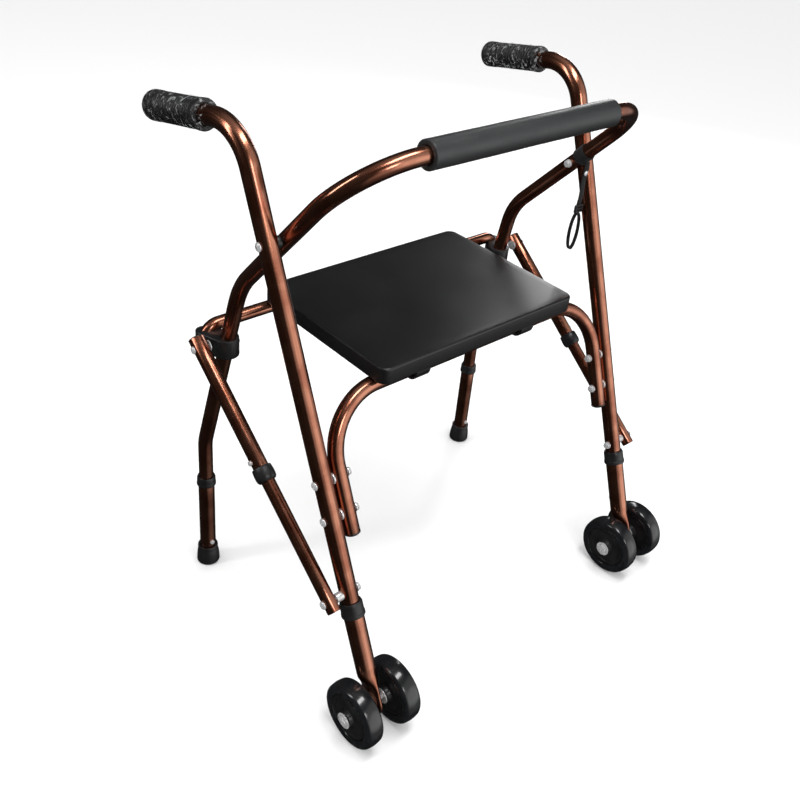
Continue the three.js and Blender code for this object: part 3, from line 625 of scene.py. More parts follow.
def foam_finish(colours):
    """Closed-cell foam: fine pores, painted darker towards their centres as painted shade in the
    pits, and a dull skin.
    """
    f = Finish("foam_sleeve")
    pores = f.add("ShaderNodeTexVoronoi", {"Vector": f.where(), "Scale": 1100.0})
    grain = f.effect("grain", Fine_Scale=900.0, Patch_Scale=22.0)
    pit_depth_and_shade = f.span(pores.outputs["Distance"], 0.0, 0.6)
    # Painted shade: the foam colour falls to 60% at the pore centres, where the relief is lowest;
    # the same mask gives the pores their relief.
    f.dusted(f.tint(pit_depth_and_shade, shade(colours.foam, 0.6), colours.foam), 0.04, 380.0)
    f.feed("Roughness", f.span(grain["Patches"], 0.0, 1.0, 0.36, 0.46))
    fine = f.bump(pit_depth_and_shade, 0.00008, 0.55)
    f.feed("Normal", f.bump(grain["Patches"], 0.0002, 0.35, fine))
    return f.material


def seat_finish(colours):
    """Smooth black vinyl with a shallow leather grain."""
    f = Finish("seat_vinyl")
    values = {"Vector": f.where(), "Scale": 620.0}
    cells = f.add("ShaderNodeTexVoronoi", values, feature="DISTANCE_TO_EDGE")
    creases = f.span(cells.outputs["Distance"], 0.0, 0.25)
    patches = f.effect("grain", Fine_Scale=1400.0, Patch_Scale=9.0)["Patches"]
    f.dusted(f.tint(patches, colours.seat, shade(colours.seat, 1.35)), 0.02, 650.0)
    f.feed("Roughness", f.span(patches, 0.0, 1.0, 0.31, 0.34))
    f.feed("Normal", f.bump(creases, 0.00005, 0.25))
    return f.material


def webbing_finish(colours):
    """Woven webbing: crossed ribs, painted darker in the grooves between them as painted shade,
    with a soft fuzz.
    """
    f = Finish("webbing", Sheen_Weight=0.06, Sheen_Roughness=0.4)
    where = f.where()
    weave_ribs_and_shade = f.math("MULTIPLY", f.wave(where, 210.0, 0.6, "Z"), f.wave(where, 260.0, 0.4, "X"))
    # Painted shade: the webbing colour falls to half in the grooves between the ribs, where the
    # relief is lowest.
    f.feed("Base Color", f.tint(weave_ribs_and_shade, shade(colours.webbing, 0.5), colours.webbing))
    f.feed("Roughness", f.span(weave_ribs_and_shade, 0.0, 1.0, 0.9, 0.68))
    f.feed("Normal", f.bump(weave_ribs_and_shade, 0.0003, 0.7))
    return f.material


def film_finish():
    """Thin clear wrapping film, made half opaque and pale grey along its creases: a painted
    highlight on the creases.
    """
    f = Finish("wrapping_film", Base_Color=(0.5, 0.51, 0.52, 1.0), Roughness=0.14)
    creases = f.cloud(f.where(), 95.0, 5.0, 1.6)
    # Painted highlight: the creases get up to 40% opacity, so the pale grey base shows there as
    # whitish streaks on the dark grip.
    f.feed("Alpha", f.span(creases, 0.52, 0.8, 0.0, 0.4))
    f.feed("Normal", f.bump(creases, 0.003, 0.8))
    return f.material


def make_finishes(colours):
    """Builds the shared effects once and then every material."""
    effects.update(grain=grain_effect(), streaks=streaks_effect(), dust=dust_effect())
    moulded = {
        "plastic": ("black_plastic", colours.plastic, (0.28, 0.4), 0.00005, 0.02),
        "grip": ("grip_rubber", colours.rubber, (0.38, 0.52), 0.00008, 0.02),
        "foot": ("foot_rubber", colours.rubber, (0.32, 0.46), 0.00006, 0.05),
    }
    finishes.update({key: moulded_finish(*values) for key, values in moulded.items()})
    finishes["tyre"] = moulded_finish(
        "tyre_rubber", colours.tyre, (0.16, 0.24), 0.00002, 0.0, Coat_Weight=0.4,
        Coat_Roughness=0.1,
    )
    finishes.update(bronze=bronze_finish(colours), steel=steel_finish(colours))
    finishes.update(foam=foam_finish(colours), seat=seat_finish(colours))
    finishes.update(webbing=webbing_finish(colours), film=film_finish())


# ------------------------------------------------------------------ operators


class WalkerOperator:
    """What every operator of the walker has in common."""

    bl_options = {"REGISTER", "UNDO"}

    def execute(self, context):
        scene = context.scene
        self.tubes, self.bends = scene.walker_tubes, scene.walker_bends
        self.colours = scene.walker_colours
        self.build()
        return {"FINISHED"}


class WALKER_OT_finishes(WalkerOperator, bpy.types.Operator):
    """Makes the materials that every piece is finished in"""

    bl_idname = "walker.finishes"
    bl_label = "Finishes"

    def build(self):
        make_finishes(self.colours)


class WALKER_OT_wheel_legs(WalkerOperator, bpy.types.Operator):
    """Makes the two wheel legs, each one tube from its lower leg up to its grip"""

    bl_idname = "walker.wheel_legs"
    bl_label = "Wheel legs"

    def build(self):
        bends, end_inset, foot_rise = self.bends, 0.0065, 0.005
        for hand, side in SIDES.items():
            corner = leg_point(hand, bends.handle_height)
            reach = handle_aim(side, bends) * (bends.handle_reach - end_inset)
            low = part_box(f"wheel_leg_{hand}")[0].z + foot_rise
            corners = [leg_point(hand, low), corner, corner + reach]
            bm = bent_tube(corners, [bends.handle_bend], self.tubes.leg / 2)
            add_piece(f"{hand}_wheel_leg", bm, "front_frame", "bronze", f"wheel_leg_{hand}")


class WALKER_OT_grips(WalkerOperator, bpy.types.Operator):
    """Makes the ribbed grips and the clear film that each is still wrapped in"""

    bl_idname = "walker.grips"
    bl_label = "Grips"

    def build(self):
        for hand, side in SIDES.items():
            along = handle_aim(side, self.bends)
            end = leg_point(hand, self.bends.handle_height) + along * self.bends.handle_reach
            low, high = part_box(f"grip_{hand}")
            rims = 2 * GRIP_RIM * sqrt(1 - along.y**2)
            length = (high.y - low.y - rims) / along.y
            matrix = frame_at(end - along * length, along)
            grip = turned(self.profile(length), matrix, ROUND, 0.0005, 2)
            add_piece(f"{hand}_grip", grip, "front_frame", "grip", f"grip_{hand}")
            film = moved(self.film(length, side), matrix)
            add_piece(f"{hand}_grip_film", film, "front_frame", "film", sharp=70)

    def profile(self, length):
        """A front rim, shallow ribs, a rear rim and a rounded end round the tube."""
        bore, body, rim = self.tubes.leg / 2 + GAP, 0.018, GRIP_RIM
        pairs = [(bore, 0), (rim - 0.001, 0), (rim, 0.002), (rim, 0.008), (body, 0.01)]
        first, last, ribs, crest = 0.013, length - 0.022, 15, body + 0.001
        pitch = (last - first) / ribs
        for k in range(ribs):
            at = first + k * pitch
            pairs += [(body, at), (crest, at + pitch * 0.2)]
            pairs += [(crest, at + pitch * 0.6), (body, at + pitch * 0.8)]
        pairs += [(body, last), (rim, last + 0.003)]
        dome, cap = arc((rim - 0.007, length - 0.007), 0.007, 0, 90), length - 0.006
        return pairs + dome + [(0, length), (0, cap), (bore, cap)]

    def film(self, length, side):
        """A loose sleeve of film, bunched round the tube at the front of the grip."""
        skin, front, tube, shoulder = 0.0002, -0.012, self.tubes.leg / 2, 0.0135
        outer = [(tube + 0.0012, front), (tube + 0.0035, front + 0.007), (0.0188, 0.0)]
        outer += [(0.0201, 0.004 + (length - 0.014) * k / 22) for k in range(23)]
        outer += arc((shoulder, length - 0.0062), 0.0068, 10, 90, 5)
        inner = [(max(0.0, r - skin), z - (skin if r < shoulder else 0)) for r, z in outer]
        outer.append((0, length + 0.0006))
        inner.append((0, length + 0.0006 - skin))
        bm = turned(outer + inner[::-1], Matrix.Identity(4), 72)
        seed = Vector((side * 3, 0, 0))

        def crumple(point, out):
            bunch = 1 - ease(point.z, front, 0.018)
            crinkle = noise.noise(point * 190 + seed) + 0.5 * noise.noise(point * 420)
            pleats = noise.noise(Vector((out.x * 5, out.y * 5, point.z * 30)))
            return max(-0.0004, 0.00045 * crinkle + bunch * 0.0016 * pleats)

        swell(bm, 0.004, crumple)
        return bm


class WALKER_OT_rear_bow(WalkerOperator, bpy.types.Operator):
    """Makes the rear bow: padded bar, arms and rear legs in one bent tube"""

    bl_idname = "walker.rear_bow"
    bl_label = "Rear bow"

    def build(self):
        bends, low = self.bends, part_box("rear_bow")[0].z
        left, right = bow_corners("left"), bow_corners("right")
        corners = [rear_point("left", low), *left, *right[::-1], rear_point("right", low)]
        half = [bends.knee_bend, bends.elbow_bend, bends.bar_bend]
        bm = bent_tube(corners, half + half[::-1], self.tubes.bow / 2)
        add_piece("bow_tube", bm, "rear_frame", "bronze", "rear_bow")


class WALKER_OT_foam_sleeve(WalkerOperator, bpy.types.Operator):
    """Makes the foam sleeve on the bar"""

    bl_idname = "walker.foam_sleeve"
    bl_label = "Foam sleeve"

    def build(self):
        low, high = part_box("back_pad")
        radius, half = (high.z - low.z) / 2, (high.x - low.x) / 2
        bore, lip, edge, stations = self.tubes.bow / 2 + 0.0002, 0.0012, 0.0008, 60
        profile = [(bore, -half + edge), (bore + edge, -half)]
        profile += arc((radius - lip, -half + lip), lip, -90, 0)[:-1]
        profile += [(radius, (half - lip) * (2 * k / stations - 1)) for k in range(stations + 1)]
        profile += arc((radius - lip, half - lip), lip, 0, 90)[1:]
        profile += [(bore + edge, half), (bore, half - edge)]
        bm = turned(profile, Matrix.Identity(4), 64)

        def soft(point, _out):
            return 0.00022 * noise.noise(point * 28) + 0.0001 * noise.noise(point * 90)

        swell(bm, bore + 0.002, soft)
        moved(bm, frame_at(middle("back_pad"), ACROSS, BACK))
        piece = add_piece("foam_sleeve", bm, "rear_frame", "foam", "back_pad", sharp=60)


class WALKER_OT_seat_support(WalkerOperator, bpy.types.Operator):
    """Makes the inverted U under the seat's front edge, and the plugs in its feet"""

    bl_idname = "walker.seat_support"
    bl_label = "Seat support"

    def build(self):
        end_height, cross = self.bends.support_end, SEAT_HINGE.z
        radius = self.tubes.support / 2
        inset = self.tubes.leg / 2 + 0.003 + radius
        corners = []
        for hand, heights in (("left", (end_height, cross)), ("right", (cross, end_height))):
            for height in heights:
                corners.append(leg_point(hand, height) - ACROSS * SIDES[hand] * inset)
        bm = bent_tube(corners, [self.bends.support_bend] * 2, radius)
        add_piece("support_tube", bm, "front_frame", "bronze", "seat_support")
        rim = radius + GAP
        profile = [(0, -0.0035), (radius - 0.003, -0.0035), (rim, -0.0012)]
        profile += [(rim, 0.001), (radius - 0.002, 0.001), (0, 0.001)]
        for hand, corner in (("left", corners[0]), ("right", corners[3])):
            at = frame_at(corner, against(f"front_height_{hand}"))
            plug = turned(profile, at, ROUND, 0.0005)
            add_piece(f"{hand}_support_plug", plug, "front_frame", "plastic")


def bolt(start, direction, clamped, diameter=0.012, washer=None):
    """A domed bolt with its washer and nut. Its head rests at start, its nut lies beyond."""
    head, socket, thread = diameter / 2, 0.0022, BOLT_SHAFT - 0.0005
    tip = clamped + 0.0055
    profile = [(0, tip), (thread, tip), (BOLT_SHAFT, clamped), (BOLT_SHAFT, 0)]
    profile.append((head - 0.0003, 0))
    dome = arc((0, -0.0004), head, 0, 90, 8)
    profile += [(r, -0.0006 - (z + 0.0004) * 0.5) for r, z in dome]
    profile = [p for p in profile if p[0] > socket or p[1] > -0.002]
    profile += [(socket, -0.0035), (socket, -0.0022), (0, -0.0022)]
    matrix, along = frame_at(start, direction), Vector(direction).normalized()
    pieces = [turned(profile, matrix, 28)]
    nut = frame_at(start + along * clamped, direction)
    pieces.append(ring(nut, BOLT_SHAFT, 0.0062, 0, 0.0009, 28))
    high = frame_at(start + along * (clamped + 0.001), direction)
    pieces.append(hexagon(high, 0.0095, 0.0042, 0.0004))
    if washer:
        radius, low, top = washer
        pieces.append(ring(matrix, BOLT_SHAFT, radius, low, top, 32, 0.0003))
    return together(*pieces)


class WALKER_OT_frame_bolts(WalkerOperator, bpy.types.Operator):
    """Makes the bolts of the front frame with their nuts, washers and spacers"""

    bl_idname = "walker.frame_bolts"
    bl_label = "Frame bolts"

    def build(self):
        leg = self.tubes.leg
        for hand, side in SIDES.items():
            inboard = -ACROSS * side
            for name in ("pivot_bolt", "support_bolt_upper", "support_bolt_lower"):
                node = f"{name}_{hand}"
                start = leg_point(hand, middle(node).z) - inboard * (leg / 2 + GAP)
                clamped = abs(start.x - faces_across(node, side)[1]) - NUT_REACH
                washer = None if name == "pivot_bolt" else (0.008, leg + 2 * GAP, leg + 0.003)
                bm = bolt(start, inboard, clamped, washer=washer)
                add_piece(f"{hand}_{name}", bm, "front_frame", "steel", node)
            self.pivot_spacer(hand, side)
            self.brace_bolt(hand, inboard)

    def pivot_spacer(self, hand, side):
        """Washer between the wheel leg and the bow."""
        node = f"pivot_spacer_{hand}"
        outer, inner = faces_across(node, side)
        at = frame_at((inner, PIVOT.y, PIVOT.z), ACROSS * side)
        bm = ring(at, 0.0033, 0.008, 0, abs(outer - inner), 40, 0.0004)
        add_piece(f"{hand}_pivot_washer", bm, "front_frame", "plastic", node)

    def brace_bolt(self, hand, inboard):
        """Bolt at a brace's foot and the sleeve that holds the brace off the leg."""
        foot, side = brace_run(hand)[0], SIDES[hand]
        outer, inner = faces_across(f"brace_bolt_{hand}", side)
        start = Vector((outer - side * HEAD_REACH, foot.y, foot.z))
        clamped = abs(outer - inner) - HEAD_REACH - NUT_REACH
        bm = bolt(start, inboard, clamped)
        add_piece(f"{hand}_brace_bolt", bm, "front_frame", "steel", f"brace_bolt_{hand}")
        node = f"brace_standoff_{hand}"
        outer, inner = faces_across(node, side)
        at = frame_at((outer, foot.y, foot.z), inboard)
        bm = ring(at, 0.0033, 0.0065, 0, abs(outer - inner), 40, 0.0004)
        add_piece(f"{hand}_brace_sleeve", bm, "front_frame", "steel", node)


def add_button(name, hand, at, outer):
    """A round spring button with a domed end, reaching through the tubes round it."""
    low, top, dome = outer - 0.0036, outer + 0.0031, 0.0005
    profile = [(0, low), (BUTTON_RADIUS, low)]
    for degrees in range(0, 76, 15):
        turn = radians(degrees)
        profile.append((BUTTON_RADIUS * cos(turn), top - dome + dome * sin(turn)))
    bm = turned(profile + [(0, top)], at, 28)
    add_piece(f"{hand}_{name}_button", bm, f"{name}_catch_{hand}", "steel", f"{name}_catch_{hand}")


def collar(grip, slide, mouth, rim, heights):
    """A moulded collar: a thicker band, a plain part and a lip over the tube's mouth."""
    foot, band_top, step, plain_top, lip = (mouth + height for height in heights)
    thick, thin, nose = rim
    return [
        (grip, foot), (thick, foot), (thick, band_top), (thin, step), (thin, plain_top),
        (nose, lip), (slide, lip), (slide, mouth + 0.0004), (grip, mouth + 0.0004),
    ]


class WALKER_OT_front_lower_legs(WalkerOperator, bpy.types.Operator):
    """Makes the front lower legs, pressed flat at the axle, with collars and spring buttons"""

    bl_idname = "walker.front_lower_legs"
    bl_label = "Front lower legs"

    def build(self):
        tubes = self.tubes
        radius, slide = tubes.leg / 2 + tubes.slip + tubes.wall, tubes.leg / 2 + GAP
        rim = (radius + 0.0026, radius + 0.0018, radius + 0.0004)
        for hand in SIDES:
            axle, up = axle_centre(hand), against(f"front_height_{hand}")
            matrix = frame_at(axle, up)
            mouth = (middle(f"front_collar_{hand}") - axle).dot(up) + 0.006
            self.leg(hand, matrix, radius, mouth)
            heights = (-0.017, -0.0125, -0.0115, 0.0015, 0.005)
            bm = turned(collar(radius + 0.0002, slide, mouth, rim, heights), matrix, ROUND, 0.0005)
            node = f"front_collar_{hand}"
            add_piece(f"{hand}_front_collar", bm, f"front_lower_{hand}", "plastic", node)
            catch = middle(f"front_catch_{hand}")
            level = axle + up * (catch - axle).dot(up)
            add_button("front", hand, frame_at(level, catch - level), radius)

    def leg(self, hand, matrix, radius, mouth):
        """A round tube above, pressed flat below with a rounded tail."""
        round_end, flat_end, tail, steps = 0.049, 0.0235, 0.017, 8
        thin, wide = 0.013 / 2 / radius, 0.037 / 2 / radius
        levels = [mouth, mouth * 0.75, round_end]
        levels += [round_end + (flat_end - round_end) * k / steps for k in range(1, steps + 1)]
        levels += [flat_end * (1 - k / 3) for k in range(1, 4)]
        levels += [-tail * sin(pi / 2 * k / steps) for k in range(1, steps + 1)]
        up = matrix.to_3x3() @ UP
        tube = Tube(matrix @ Vector((0, 0, mouth)), -up, radius)
        was = (1.0, 1.0)
        for above, level in zip(levels, levels[1:]):
            tube.run(-up * (above - level))
            press = 1 - ease(level, flat_end, round_end)
            end = min(1.0, max(0.0, -level / tail))
            narrow = sqrt(1 - 0.72 * end * end)
            now = (1 + (thin - 1) * press, (1 + (wide - 1) * press) * narrow)
            tube.press(matrix, now[0] / was[0], now[1] / was[1])
            was = now
        name, node = f"{hand}_front_lower_leg", f"front_lower_leg_{hand}"
        add_piece(name, tube.close(0.001), f"front_lower_{hand}", "bronze", node)


class WALKER_OT_wheels(WalkerOperator, bpy.types.Operator):
    """Makes the four wheels: glossy tyres on black hubs"""

    bl_idname = "walker.wheels"
    bl_label = "Wheels"

    def build(self):
        for hand in SIDES:
            for at in ("outer", "inner"):
                body, hub = f"wheel_{at}_{hand}", f"hub_{at}_{hand}"
                centre = Vector(JOINTS[f"wheel_spin_{at}_{hand}"]["pos_m"])
                matrix = frame_at(centre, ACROSS, BACK)
                tyre = turned(self.tyre(), matrix, 96)
                add_piece(f"{hand}_{at}_tyre", tyre, body, "tyre", f"tyre_{at}_{hand}", sharp=50)
                low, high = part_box(hub)
                bm = turned(self.hub((high.x - low.x) / 2), matrix, 72, 0.0003, 2)
                add_piece(f"{hand}_{at}_hub", bm, body, "plastic", hub)

    def tyre(self):
        """A solid tyre: slightly crowned tread, round shoulders and flat walls."""
        outer, inner, half, shoulder, crown = 0.05, 0.0352, 0.014, 0.0062, 0.0009
        right = [(inner, half - 0.002), (inner + 0.0012, half - 0.0006), (0.0395, half)]
        right.append((0.0405, half + 0.0002))
        right += arc((outer - crown - shoulder, half - shoulder), shoulder, 84, 12, 8)
        right.append((outer - 0.0003, half * 0.3))
        return right + [(outer, 0)] + mirrored(right)

    def hub(self, half):
        """A hub with a shallow dished face on each side, a raised ring and a boss."""
        rim, bore, face = 0.035, 0.0041, 0.0112
        right = [(bore, half), (0.0125, half), (0.0132, half - 0.0008), (0.0142, face + 0.0008)]
        right += [(0.0175, face - 0.0004), (0.0285, face - 0.0012), (0.0305, face + 0.0004)]
        right += [(0.0338, face + 0.0006), (rim, face - 0.0004)]
        return right + mirrored(right)


class WALKER_OT_axles(WalkerOperator, bpy.types.Operator):
    """Makes the axle bolts with their nuts, washers and spacers"""

    bl_idname = "walker.axles"
    bl_label = "Axles"

    def build(self):
        bore, washer, thick = 0.0041, 0.012, 0.0016
        for hand in SIDES:
            low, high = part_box(f"axle_{hand}")
            end = (high.x - low.x) / 2 - 0.003
            centre = axle_centre(hand)
            offset = abs(Vector(JOINTS[f"wheel_spin_outer_{hand}"]["pos_m"]).x - centre.x)
            hub_low, hub_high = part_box(f"hub_outer_{hand}")
            hub = (hub_high.x - hub_low.x) / 2 + GAP
            shaft = [(0, -end), (0.004, -end), (0.004, end), (0, end)]
            pieces = [turned(shaft, frame_at(centre, ACROSS), 32)]
            for way in (ACROSS, -ACROSS):
                for distance in (offset + hub, offset - hub - thick):
                    at = frame_at(centre + way * distance, way)
                    pieces.append(ring(at, bore, washer, 0, thick, 48, 0.0004, 2))
                pieces += self.dome_nut(frame_at(centre + way * (offset + hub + 0.0017), way))
            bm, body = together(*pieces), f"front_lower_{hand}"
            add_piece(f"{hand}_axle", bm, body, "steel", f"axle_{hand}")

    def dome_nut(self, matrix):
        """A low hexagon with a small dome, as on a lock nut."""
        lift = matrix @ Matrix.Translation((0, 0, 0.0018))
        dome = [(0, -0.0005), (0.0052, -0.0005), (0.005, 0.0004), (0.0035, 0.0012), (0, 0.0014)]
        return hexagon(matrix, 0.0125, 0.002, 0.0003), turned(dome, lift, 32)


class WALKER_OT_rear_lower_legs(WalkerOperator, bpy.types.Operator):
    """Makes the rear lower legs with collars, spring buttons and rubber feet"""

    bl_idname = "walker.rear_lower_legs"
    bl_label = "Rear lower legs"

    def build(self):
        tubes, foot_depth = self.tubes, 0.008
        radius, slide = tubes.bow / 2 + tubes.slip + tubes.wall, tubes.bow / 2 + GAP
        rim = (radius + 0.0024, radius + 0.0018, radius + 0.0006)
        for hand in SIDES:
            up, base = against(f"rear_height_{hand}"), rear_point(hand, 0)
            matrix, body = frame_at(base, up), f"rear_lower_{hand}"
            mouth = (middle(f"rear_collar_{hand}") - base).dot(up) + 0.004
            tube = Tube(base + up * foot_depth, up, radius)
            tube.run(up * (mouth - foot_depth), 4)
            name, node = f"{hand}_rear_lower_leg", f"rear_lower_leg_{hand}"
            add_piece(name, tube.close(), body, "bronze", node)
            heights = (-0.012, -0.008, -0.0072, 0.001, 0.004)
            bm = turned(collar(radius + 0.0002, slide, mouth, rim, heights), matrix, ROUND, 0.0004)
            add_piece(f"{hand}_rear_collar", bm, body, "plastic", f"rear_collar_{hand}")
            catch = middle(f"rear_catch_{hand}")
            add_button("rear", hand, frame_at(base + up * catch.z, -BACK), radius)
            foot = turned(self.foot(radius), frame_at(base, UP), 56)
            add_piece(f"{hand}_foot", foot, body, "foot", f"rear_foot_{hand}")

    def foot(self, radius):
        """A flared rubber foot with a ringed neck and a ringed sole."""
        flare, neck, height, groove, bore = 0.0185, 0.0157, 0.034, 0.0012, radius + GAP
        profile = [(0, groove), (0.006, groove), (0.0065, 0), (0.009, 0), (0.0095, groove)]
        profile += [(0.0125, groove), (0.013, 0), (flare - 0.0024, 0)]
        profile += arc((flare - 0.0022, 0.0022), 0.0022, -80, 0, 5)
        profile += [(flare - 0.0003, 0.012), (flare - 0.0012, 0.0195), (neck + 0.0004, 0.0265)]
        profile += [(neck, 0.0278), (neck, 0.0295), (neck + 0.0005, 0.03)]
        profile += [(neck + 0.0005, height - 0.001), (neck - 0.0002, height)]
        profile += [(bore + 0.0004, height), (bore, height - 0.0004), (bore, 0.007), (0, 0.007)]
        return profile


class WALKER_OT_rear_rail(WalkerOperator, bpy.types.Operator):
    """Makes the rail under the seat and the moulded blocks that hold it"""

    bl_idname = "walker.rear_rail"
    bl_label = "Rear rail"

    def build(self):
        low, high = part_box("rear_rail")
        radius, tail = self.tubes.rail / 2, self.bends.rail_tail
        y, top = (low.y + high.y) / 2, high.z - radius
        left, right = high.x - radius, low.x + radius
        places = [(left, y, top - tail), (left, y, top), (right, y, top), (right, y, top - tail)]
        corners = [Vector(place) for place in places]
        bm = bent_tube(corners, [self.bends.rail_bend] * 2, radius)
        add_piece("rail_tube", bm, "rear_frame", "bronze", "rear_rail")
        for hand, end in (("left", corners[0]), ("right", corners[3])):
            self.rail_block(hand, end)

    def rail_block(self, hand, end):
        """A moulded link round the leg and the rail's end, planed flat towards the brace."""
        node, side = f"rail_block_{hand}", SIDES[hand]
        low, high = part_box(node)
        knee, elbow, _ = bow_corners(hand)
        slope = (elbow - knee).normalized()
        leg = knee + slope * (((low.z + high.z) / 2 - knee.z) / slope.z)
        leg_wall, rail_wall = self.tubes.bow / 2 + 0.0064, self.tubes.rail / 2 + 0.0022
        bm = bmesh.new()
        for centre, radius in ((leg, leg_wall), (end, rail_wall)):
            for height in (low.z, high.z):
                at = Matrix.Translation((centre.x, centre.y, height))
                bmesh.ops.create_circle(bm, segments=40, radius=radius, matrix=at)
        hull = bmesh.ops.convex_hull(bm, input=bm.verts)
        spare = list({*only(bmesh.types.BMVert, hull["geom_unused"] + hull["geom_interior"])})
        bmesh.ops.delete(bm, geom=spare, context="VERTS")
        bmesh.ops.dissolve_limit(bm, angle_limit=radians(1), verts=bm.verts, edges=bm.edges)
        cut = bmesh.ops.bisect_plane(
            bm, geom=bm.verts[:] + bm.edges[:] + bm.faces[:], clear_outer=True,
            plane_co=(faces_across(node, side)[0], 0, 0), plane_no=(side, 0, 0),
        )
        rim = only(bmesh.types.BMEdge, cut["geom_cut"])
        if rim:
            bmesh.ops.contextual_create(bm, geom=rim)
        bmesh.ops.recalc_face_normals(bm, faces=bm.faces)
        soften(bm, 0.0014, 3)
        add_piece(f"{hand}_rail_block", bm, "rear_frame", "plastic", node)
        inner = leg + Vector((-side * (self.tubes.bow / 2 + 0.006), 0, 0.001))
        screw = bolt(inner, ACROSS * side, 0.004, 0.009)
        add_piece(f"{hand}_block_screw", screw, "rear_frame", "steel")


class WALKER_OT_braces(WalkerOperator, bpy.types.Operator):
    """Makes the sliding side braces with collars, spring buttons, rivets and end caps"""

    bl_idname = "walker.braces"
    bl_label = "Side braces"

    def build(self):
        outer = self.tubes.brace / 2
        inner = outer - self.tubes.wall - self.tubes.slip
        tail, upper_length, overlap = 0.015, 0.198, 0.046
        cap = [(0, 0.0015), (outer - 0.003, 0.0015), (outer, 0.0004), (outer, -0.001), (0, -0.001)]
        for hand, side in SIDES.items():
            foot, along = brace_run(hand)
            length = (middle(f"brace_rivet_{hand}") - foot).dot(along)
            mouth, body = length - upper_length, f"brace_upper_{hand}"
            lower = Tube(foot - along * tail, along, inner)
            lower.run(along * (mouth + overlap + tail), 6)
            node = f"brace_lower_{hand}"
            add_piece(f"{hand}_brace_lower", lower.close(0.0008), node, "bronze", node)
            upper = Tube(foot + along * mouth, along, outer)
            upper.run(along * (length + tail - mouth), 4)
            add_piece(f"{hand}_brace_upper", upper.close(), body, "bronze", body)
            bm = turned(self.collar(outer, inner, mouth), frame_at(foot, along))
            add_piece(f"{hand}_brace_collar", bm, body, "plastic", f"brace_collar_{hand}")
            self.rivet(hand, side, foot + along * length, outer)
            at = frame_at(foot + along * (length + 0.0152), along)
            bm = turned(cap, at, ROUND, 0.0004)
            add_piece(f"{hand}_brace_cap", bm, body, "plastic")
            rise = (middle(f"brace_catch_{hand}") - foot).dot(along)
            add_button("brace", hand, frame_at(foot + along * rise, ACROSS * side), outer)

    def collar(self, outer, inner, mouth):
        """A moulded collar that steps down from the upper tube to the lower one."""
        grip, slide = outer + 0.0002, inner + GAP
        upper = [(grip, mouth + 0.014), (grip + 0.0018, mouth + 0.0138)]
        upper += [(grip + 0.0026, mouth + 0.0125), (grip + 0.0032, mouth + 0.006)]
        upper += [(grip + 0.0032, mouth - 0.001), (grip + 0.0024, mouth - 0.0045)]
        lower = [(grip + 0.001, mouth - 0.0065), (slide + 0.0012, mouth - 0.0072)]
        lower += [(slide, mouth - 0.0072), (slide, mouth - 0.0004), (grip, mouth - 0.0004)]
        return upper + lower

    def rivet(self, hand, side, centre, outer):
        """Rivet with a domed head and a collar inboard."""
        start = centre + ACROSS * side * (outer + GAP)
        head, shaft, flange, span = 0.0056, 0.003, 0.008, 2 * outer
        profile = [(0, -0.003), (0.0025, -0.0028), (0.0045, -0.0018), (head, -0.0002)]
        profile += [(head, 0.0), (shaft, 0.0), (shaft, span + 0.0006), (flange, span + 0.0006)]
        profile += [(flange, span + 0.0019), (0, span + 0.0019)]
        bm, body = turned(profile, frame_at(start, -ACROSS * side), 36), f"brace_upper_{hand}"
        add_piece(f"{hand}_brace_rivet", bm, body, "steel", f"brace_rivet_{hand}")


